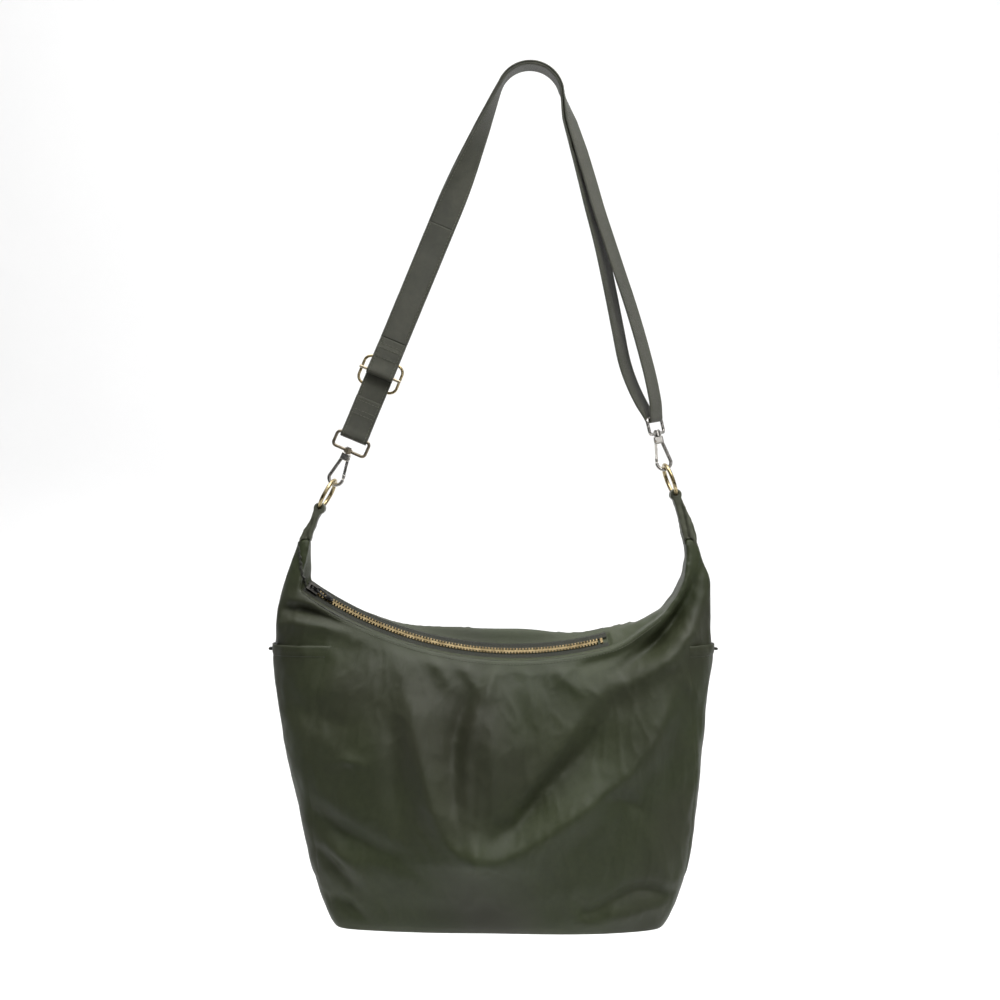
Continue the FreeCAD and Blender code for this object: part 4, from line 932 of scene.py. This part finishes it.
# ------------------------------------------------------------------ lining, a thin bag that follows the shaped shell from inside
def lattice_shell(name, cells, depth_out, depth_in, closed):
    """Two layers that take the bag's own folds, a little way inside it, joined round their edge."""
    rows, cols = len(cells), len(cells[0])
    P = np.array(cells, float)
    du = np.roll(P, -1, 1) - np.roll(P, 1, 1)
    if not closed:
        du = np.gradient(P, axis=1)
    dv = np.gradient(P, axis=0)
    N = np.cross(du, dv)
    N /= np.maximum(np.linalg.norm(N, axis=2), 1e-9)[:, :, None]
    mid_x = np.where(np.abs(P[:, :, 1]) > 8, 0.0, 1.0)
    sign = np.sign(N[:, :, 1] * P[:, :, 1] + mid_x * N[:, :, 0] * (P[:, :, 0] - XC) / 40.0)
    sign[sign == 0] = 1
    N *= sign[:, :, None]
    Q = shape_bag(P.reshape(-1, 3), N.reshape(-1, 3))[0].reshape(P.shape)
    outer_l = [V(p) for p in (Q - N * depth_out).reshape(-1, 3)]
    inner_l = [V(p) for p in (Q - N * depth_in).reshape(-1, 3)]
    tot = rows * cols
    faces, span = [], cols if closed else cols - 1
    for i in range(rows - 1):
        for j in range(span):
            k = (j + 1) % cols
            a, b, c, d = i * cols + j, i * cols + k, (i + 1) * cols + k, (i + 1) * cols + j
            faces.append((a, b, c, d))
            faces.append((tot + d, tot + c, tot + b, tot + a))
    if closed:
        for j in range(cols):
            k = (j + 1) % cols
            a, b = (rows - 1) * cols + j, (rows - 1) * cols + k
            faces.append((a, b, tot + b, tot + a))
        faces.append(tuple(reversed(range(cols))))
        faces.append(tuple(tot + j for j in range(cols)))
    else:
        loop_ = list(range(cols)) + [i * cols + cols - 1 for i in range(1, rows)] + [(rows - 1) * cols + j for j in range(cols - 2, -1, -1)] + [i * cols for i in range(rows - 2, 0, -1)]
        for q in range(len(loop_)):
            a, b = loop_[q], loop_[(q + 1) % len(loop_)]
            faces.append((b, a, tot + a, tot + b))
    ob = mesh_object(name, outer_l + inner_l, faces)
    fix_normals(ob)
    return ob


def ring_cells(z, count):
    z_, left, right_, b, mid, n = row_at(z)
    out = []
    for i in range(count):
        ang = 2 * math.pi * i / count
        c, s = math.cos(ang), math.sin(ang)
        u = math.copysign(abs(c) ** (2.0 / n), c)
        v = math.copysign(abs(s) ** (2.0 / n), s)
        k = mid + (1 - mid) * (1 - math.exp(-((abs(u) / 0.72) ** 5)))
        out.append((XC + (right_ if u > 0 else left) * u, b * k * v, z))
    return out


FR = np.array(hermite_rows(FORM, 4.0))


def row_at(z):
    return [float(np.interp(z, FR[:, 0], FR[:, c])) if c else z for c in range(6)]


lining_cells = [ring_cells(z, 260) for z in np.arange(-762.0, -541.0, 3.0)]
lining_ob = lattice_shell("lining_cloth", lining_cells, 2.4, 3.1, True)
paint(lining_ob, LINING)
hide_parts("lining")
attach(lining_ob, "bag")
pocket_cells = []
for z in np.arange(-690.0, -569.0, 4.0):
    z_, left, right_, b, mid, n = row_at(z)
    pocket_cells.append([(x, b * mid * (1 - abs((x - XC) / 185.0) ** 2.8) ** (1 / 2.8), float(z)) for x in np.arange(XC - 90, XC + 91, 4.0)])
lp_ob = lattice_shell("lining_pocket_cloth", pocket_cells, 3.9, 4.6, False)
paint(lp_ob, LINING)
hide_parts("lining_pocket")
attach(lp_ob, "bag")

# ------------------------------------------------------------------ side slip pockets
def side_pocket(side):
    s = -1 if side == "left" else 1
    cx = -130.0 if side == "left" else 62.0
    base_ang = math.pi if side == "left" else 0.0
    lo = BOX[side + "_side_pocket"][0]
    z0, z1 = lo[2] / MM, BOX[side + "_side_pocket"][1][2] / MM
    nz, na = 88, 72
    front_edge = rad(33.0 if side == "left" else 22.0)
    back_edge = rad(38.0)
    grid = []
    for i in range(nz + 1):
        z = lerp(z0, z1, i / nz)
        rowp = []
        taper = lerp(0.86, 1.0, smooth01(i / nz))
        for j in range(na + 1):
            e = -1 + 2 * j / na                       # -1 at the front edge, 1 at the back edge
            ang = base_ang + (-s) * -1 * e * taper * (front_edge if e < 0 else back_edge)
            h = round_at(z, ang, cx)
            rowp.append(h if h else (V((cx, 0, z)), V((s, 0, 0))))
        grid.append(rowp)
    P = np.array([[tuple(h[0]) for h in row] for row in grid])
    N = np.array([[tuple(h[1]) for h in row] for row in grid])
    for _ in range(4):
        N[1:-1, 1:-1] = (N[1:-1, 1:-1] * 2 + N[:-2, 1:-1] + N[2:, 1:-1] + N[1:-1, :-2] + N[1:-1, 2:]) / 6
    N /= np.linalg.norm(N, axis=2)[:, :, None]
    iz = np.linspace(0, 1, nz + 1)[:, None] * np.ones((1, na + 1))
    ja = np.ones((nz + 1, 1)) * np.abs(np.linspace(-1, 1, na + 1))[None, :]
    edge = smooth01((1 - ja) / 0.22) * smooth01(iz / 0.06)
    gape = np.exp(-((1 - iz) / 0.16)) * (1 - ja ** 2) * 1.2
    lift = -0.55 + 1.55 * edge + gape
    hem_h = 9.0 / (z1 - z0)
    hem = smooth01((iz - (1 - hem_h)) / 0.006)
    groove = np.exp(-((iz - (1 - hem_h)) / 0.004) ** 2)
    lift = lift + (hem * 0.45 - groove * 0.35) * smooth01((1 - ja) / 0.1)
    outer = P + N * lift[:, :, None]
    inner = P + N * (lift - np.where(iz > 0.9, 1.0, 0.9))[:, :, None]
    verts = [tuple(p) for p in outer.reshape(-1, 3)] + [tuple(p) for p in inner.reshape(-1, 3)]
    m = na + 1
    tot = (nz + 1) * m
    faces = []
    for i in range(nz):
        for j in range(na):
            a, b, c, d = i * m + j, i * m + j + 1, (i + 1) * m + j + 1, (i + 1) * m + j
            faces.append((a, b, c, d))
            faces.append((tot + d, tot + c, tot + b, tot + a))
    ring = [j for j in range(m)] + [(i * m + na) for i in range(1, nz + 1)] + [nz * m + j for j in range(na - 1, -1, -1)] + [i * m for i in range(nz - 1, 0, -1)]
    for k in range(len(ring)):
        a, b = ring[k], ring[(k + 1) % len(ring)]
        faces.append((b, a, tot + a, tot + b))
    ob = mesh_object(side + "_pocket_cloth", verts, faces)
    fix_normals(ob)
    paint(ob, NYLON)
    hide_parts(side + "_side_pocket")
    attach(ob, "bag")
    # stitches: along the hem
    items = []
    i_h = int(round(nz * (1 - hem_h))) - 0
    for i in (i_h,):
        path = [(outer[i, j], N[i, j]) for j in range(2, na - 1)]
        items += stitches_on("x", path, 2.9, 2.1, 0.22, 0.12)
    vv, ff = capsule_mesh(items, 5)
    st = mesh_object(side + "_pocket_stitches", vv, ff)
    paint(st, THREAD_DARK)
    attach(st, "bag")
    # small folded label-like tab at the end of the hem
    mid = outer[nz - 2, na // 2]
    nn = V(N[nz - 2, na // 2]).normalized()
    up = V((0, 0, 1))
    acr = nn.cross(up).normalized()
    vt, ft = [], []
    prof = [(0.0, 0.7), (1.6, 0.9), (3.0, 0.85), (4.0, 0.45), (4.3, 0.0)]
    outline = [(a_, b_) for a_, b_ in prof] + [(a_, -b_) for a_, b_ in reversed(prof[:-1])]
    for k, y in enumerate(np.linspace(-4.5, 4.5, 10)):
        for a_, b_ in outline:
            sq = 1 - 0.08 * abs(y) / 4.5
            vt.append(V(mid) + nn * (a_ * sq - 0.8) + up * (b_ * 1.2 + 0.3 * math.sin(y * 0.7)) + acr * y)
    mm_ = len(outline)
    for k in range(9):
        for q in range(mm_):
            w = (q + 1) % mm_
            ft.append((k * mm_ + q, k * mm_ + w, (k + 1) * mm_ + w, (k + 1) * mm_ + q))
    ft.append(tuple(range(mm_)))
    ft.append(tuple(9 * mm_ + q for q in reversed(range(mm_))))
    tg = mesh_object(side + "_pocket_end_tab", vt, ft)
    fix_normals(tg)
    paint(tg, TAPE)
    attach(tg, "bag")


for side in ("left", "right"):
    side_pocket(side)


# ------------------------------------------------------------------ seams and topstitching on the bag
def mouth_edge(a, front):
    """A point just outside the mouth's front or back edge, at angle a about the zip's centre."""
    ca, sa = math.cos(rad(a)), math.sin(rad(a))
    best = None
    y = 0.0
    s = -1 if front else 1
    step = 1.0
    while y < 70:
        r = float(mouth_r(a, s * y))
        p = V((ZIP_C.x + (r + 0.6) * sa, s * y, ZIP_C.z - (r + 0.6) * ca))
        # inside the bag's outline at this height?
        zz, left, right_, b, mid, n = row_at(p.z)
        u = abs(p.x - XC) / (right_ if p.x > XC else left)
        if u >= 1:
            break
        k = mid + (1 - mid) * (1 - math.exp(-((u / 0.72) ** 5)))
        lim = b * k * (1 - u ** n) ** (1 / n)
        if y >= lim:
            break
        best = p
        y += 0.5
    return best


def seam_path(front, a0, a1, below):
    path = []
    for a in np.arange(a0, a1, 0.35):
        e = mouth_edge(a, front)
        if e is None:
            continue
        er = V((math.sin(rad(a)), 0, -math.cos(rad(a))))
        p = e + er * below
        h = front_at(p.x, p.z) if front else back_at(p.x, p.z)
        if h:
            path.append(h)
    return path


items = []
for below in (2.6,):
    items += stitches_on("x", seam_path(True, -30.0, 24.0, below), 2.9, 2.1, 0.24, 0.1)
    items += stitches_on("x", seam_path(False, -30.0, 24.0, below), 2.9, 2.1, 0.24, 0.1)
vv, ff = capsule_mesh(items, 5)
lip_st = mesh_object("mouth_stitches", vv, ff)
paint(lip_st, THREAD)
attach(lip_st, "bag")

# points on the bag's surface round the base
rim = []
for i in range(240):
    ang = 2 * math.pi * i / 240
    h = round_at(-759.5, ang, XC)
    if h:
        rim.append(h)


def tube(name, pts, radius, mat, body, sides=8, closed=False, taper=None):
    verts, faces = [], []
    n = len(pts)
    T = []
    for i in range(n):
        a = pts[(i - 1) % n] if (closed or i) else pts[0]
        b = pts[(i + 1) % n] if (closed or i < n - 1) else pts[-1]
        T.append((b - a).normalized())
    ref = T[0].orthogonal().normalized()
    for i in range(n):
        ref = (ref - T[i] * ref.dot(T[i])).normalized()
        b = T[i].cross(ref)
        rr = radius * (taper(i / (n - 1)) if taper else 1.0)
        for k in range(sides):
            w = 2 * math.pi * k / sides
            verts.append(pts[i] + (ref * math.cos(w) + b * math.sin(w)) * rr)
    for i in range(n if closed else n - 1):
        for k in range(sides):
            k2 = (k + 1) % sides
            i2 = (i + 1) % n
            faces.append((i * sides + k, i * sides + k2, i2 * sides + k2, i2 * sides + k))
    if not closed:
        faces.append(tuple(reversed(range(sides))))
        faces.append(tuple((n - 1) * sides + k for k in range(sides)))
    ob = mesh_object(name, verts, faces)
    fix_normals(ob)
    paint(ob, mat)
    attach(ob, body)
    return ob


# ------------------------------------------------------------------ zip pull: a loop of cord through the slider's crown
ZA = rad(-34.0)
ZX = V((math.cos(ZA), 0, math.sin(ZA)))
ER = V((-math.sin(ZA), 0, math.cos(ZA)))
ZYV = Y * math.cos(rad(40.0)) + ER * math.sin(rad(40.0))
ZZ = ER * math.cos(rad(40.0)) - Y * math.sin(rad(40.0))
ZB = V((ZIP_C.x + 325.55 * math.sin(ZA), 0, ZIP_C.z - 325.55 * math.cos(ZA)))


def on_zip(x, y, z):
    return ZB + ZX * x + ZYV * y + ZZ * z


loop_pts = []
LEN_P, HALF_P = 21.0, 2.1
for k in range(64):
    w = 2 * math.pi * k / 64
    c, s = math.cos(w), math.sin(w)
    x = LEN_P / 2 - 0.2 + (LEN_P / 2 - 0.6) * math.copysign(abs(c) ** 0.75, c)
    pinch = 1.0 - 0.35 * math.exp(-((x - 2.0) / 2.2) ** 2) - 0.25 * math.exp(-((x - 15.0) / 3.0) ** 2)
    y = HALF_P * pinch * math.copysign(abs(s) ** 0.8, s) + 0.25 * math.sin(x * 0.45)
    z = 4.3 - 0.05 * x + 0.25 * math.sin(x * 0.3)
    loop_pts.append(on_zip(x, y, z))
cord_ob = tube("pull_cord_loop", loop_pts, 0.85, CORD, "pull", sides=10, closed=True)
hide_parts("zip_pull")
# a bound sleeve near the free end
sleeve_pts = [on_zip(13.2 + 5.2 * f, 0.25 * math.sin((13.2 + 5.2 * f) * 0.45), 5.0 - 0.05 * (13.2 + 5.2 * f) + 0.25 * math.sin((13.2 + 5.2 * f) * 0.3)) for f in np.linspace(0, 1, 15)]
tube("pull_sleeve", sleeve_pts, 2.1, CORD, "pull", sides=16, taper=lambda f: 0.55 + 0.45 * math.sin(math.pi * min(max(f, 0.08), 0.92)) ** 0.35 + 0.03 * math.sin(f * 60))

# ------------------------------------------------------------------ gathered binding where the left tab runs down into the mouth
def binding(name, line, radius, mat, wave, seed):
    pts = []
    n = 90
    for i in range(n):
        f = i / (n - 1) * (len(line) - 1)
        k = min(int(f), len(line) - 2)
        x = lerp(line[k][0], line[k + 1][0], f - k)
        z = lerp(line[k][1], line[k + 1][1], f - k)
        x += wave * (math.sin(i * 0.55 + seed) + 0.6 * math.sin(i * 1.27 + 2 * seed))
        hit = front_at(x, z)
        if hit:
            pts.append(hit[0] + V((0, 0.25, 0)))
    if len(pts) > 10:
        for _ in range(2):
            pts = [pts[0]] + [(pts[i - 1] + pts[i] * 2 + pts[i + 1]) / 4 for i in range(1, len(pts) - 1)] + [pts[-1]]
        tube(name, pts, radius, mat, "bag", sides=10, taper=lambda f: (0.5 + 0.5 * math.sin(math.pi * min(max(f, 0.04), 0.96)) ** 0.4) * (1 + 0.22 * math.sin(f * 70 + seed)))


binding("left_mouth_binding", [(-208.0, -427.0), (-206.0, -437.0), (-204.5, -447.0), (-203.5, -457.0), (-202.5, -465.0), (-199.0, -473.0)], 1.25, BINDING, 0.45, 1.0)

# ------------------------------------------------------------------ blunt ends of the gates, up to the hooks' noses
for side, bar, tilt, g in (("left", V((-158.1, 0, -332.3)), 24.0, 1), ("right", V((111.3, 0, -315.9)), -13.0, -1)):
    ax = V((math.cos(rad(tilt)), 0, -math.sin(rad(tilt))))
    az = V((math.sin(rad(tilt)), 0, math.cos(rad(tilt))))
    tip = [bar + ax * (g * lerp(5.75, 6.22, f)) + az * lerp(-35.2, -39.3, f) for f in np.linspace(0, 1, 9)]
    tube(side + "_gate_tip", tip, 1.42, NICKEL, side + "_gate", sides=18, taper=lambda f: 1.0 - 0.22 * max(0.0, (f - 0.55) / 0.45) ** 2 - 0.15 * max(0.0, (0.3 - f) / 0.3) ** 2)


# ------------------------------------------------------------------ studio
def area_light(name, loc, target, size, power, color=(1, 1, 1), size_y=None):
    ld = bpy.data.lights.new(name, "AREA")
    ld.energy = power
    ld.color = color
    ld.shape = "RECTANGLE" if size_y else "SQUARE"
    ld.size = size
    if size_y:
        ld.size_y = size_y
    ob = bpy.data.objects.new(name, ld)
    ob.location = loc
    d = V(target) - V(loc)
    ob.rotation_euler = d.to_track_quat("-Z", "Y").to_euler()
    bpy.context.scene.collection.objects.link(ob)
    return ob


world = bpy.data.worlds.new("studio")
world.use_nodes = True
wt = world.node_tree
wz = split(wt, wt.nodes.new("ShaderNodeTexCoord").outputs["Generated"])[2]
wt.links.new(ramp(wt, ranged(wt, wz, -1.0, 1.0, 0.0, 1.0), [(0.0, (0.10, 0.10, 0.10)), (0.46, (0.06, 0.06, 0.063)), (0.60, (0.12, 0.12, 0.123)), (0.78, (0.55, 0.55, 0.56)), (1.0, (0.9, 0.9, 0.9))]), wt.nodes["Background"].inputs[0])
wt.nodes["Background"].inputs[1].default_value = 0.9
bpy.context.scene.world = world

area_light("key_right", (0.55, -0.8, 0.85), (0.0, 0.0, -0.6), 0.75, 24.0)
area_light("soft_top", (-0.3, -0.35, 0.95), (-0.02, 0.0, -0.6), 0.8, 6.0, size_y=0.6)
area_light("fill_front", (0.8, -2.0, -0.1), (0.0, 0.0, -0.55), 1.2, 7.5)
area_light("wall_wash", (0.0, 0.6, 2.3), (0.0, 1.6, -0.4), 2.4, 72.0)

# floor and backdrop: one curved sweep
pts = []
for i in range(60):
    pts.append((lerp(-0.5, 0.9, i / 59.0), -1.02))
for i in range(1, 25):
    w = rad(90.0 * i / 24)
    pts.append((0.9 + 0.7 * math.sin(w), -1.02 + 0.7 * (1 - math.cos(w))))
for i in range(1, 20):
    pts.append((1.6, -0.32 + 3.5 * i / 19.0))
verts = [(x, y, z) for y, z in pts for x in np.linspace(-5, 5, 9)]
faces = []
for i in range(len(pts) - 1):
    for j in range(8):
        faces.append((i * 9 + j, i * 9 + j + 1, (i + 1) * 9 + j + 1, (i + 1) * 9 + j))
sweep = mesh_object("studio_sweep", verts, faces, scale=1.0)
m_s, t_s, sh_s = material("sweep_paper")
co = object_coord(t_s)
t_s.links.new(ramp(t_s, tex_noise(t_s, co, 1.2, 3.0), [(0.3, (0.86, 0.86, 0.86)), (0.7, (0.9, 0.9, 0.895))]), sh_s.inputs["Base Color"])
sh_s.inputs["Roughness"].default_value = 0.9
sweep.data.materials.append(m_s)

cam_data = bpy.data.cameras.new("camera")
cam_data.sensor_width = 36.0
cam_data.lens = 56.0
cam = bpy.data.objects.new("camera", cam_data)
cam.location = (-0.027, -1.4, -0.3892)
cam.rotation_euler = (math.pi / 2, 0, 0)
bpy.context.scene.collection.objects.link(cam)
bpy.context.scene.camera = cam
bpy.context.scene.view_settings.view_transform = "Standard"
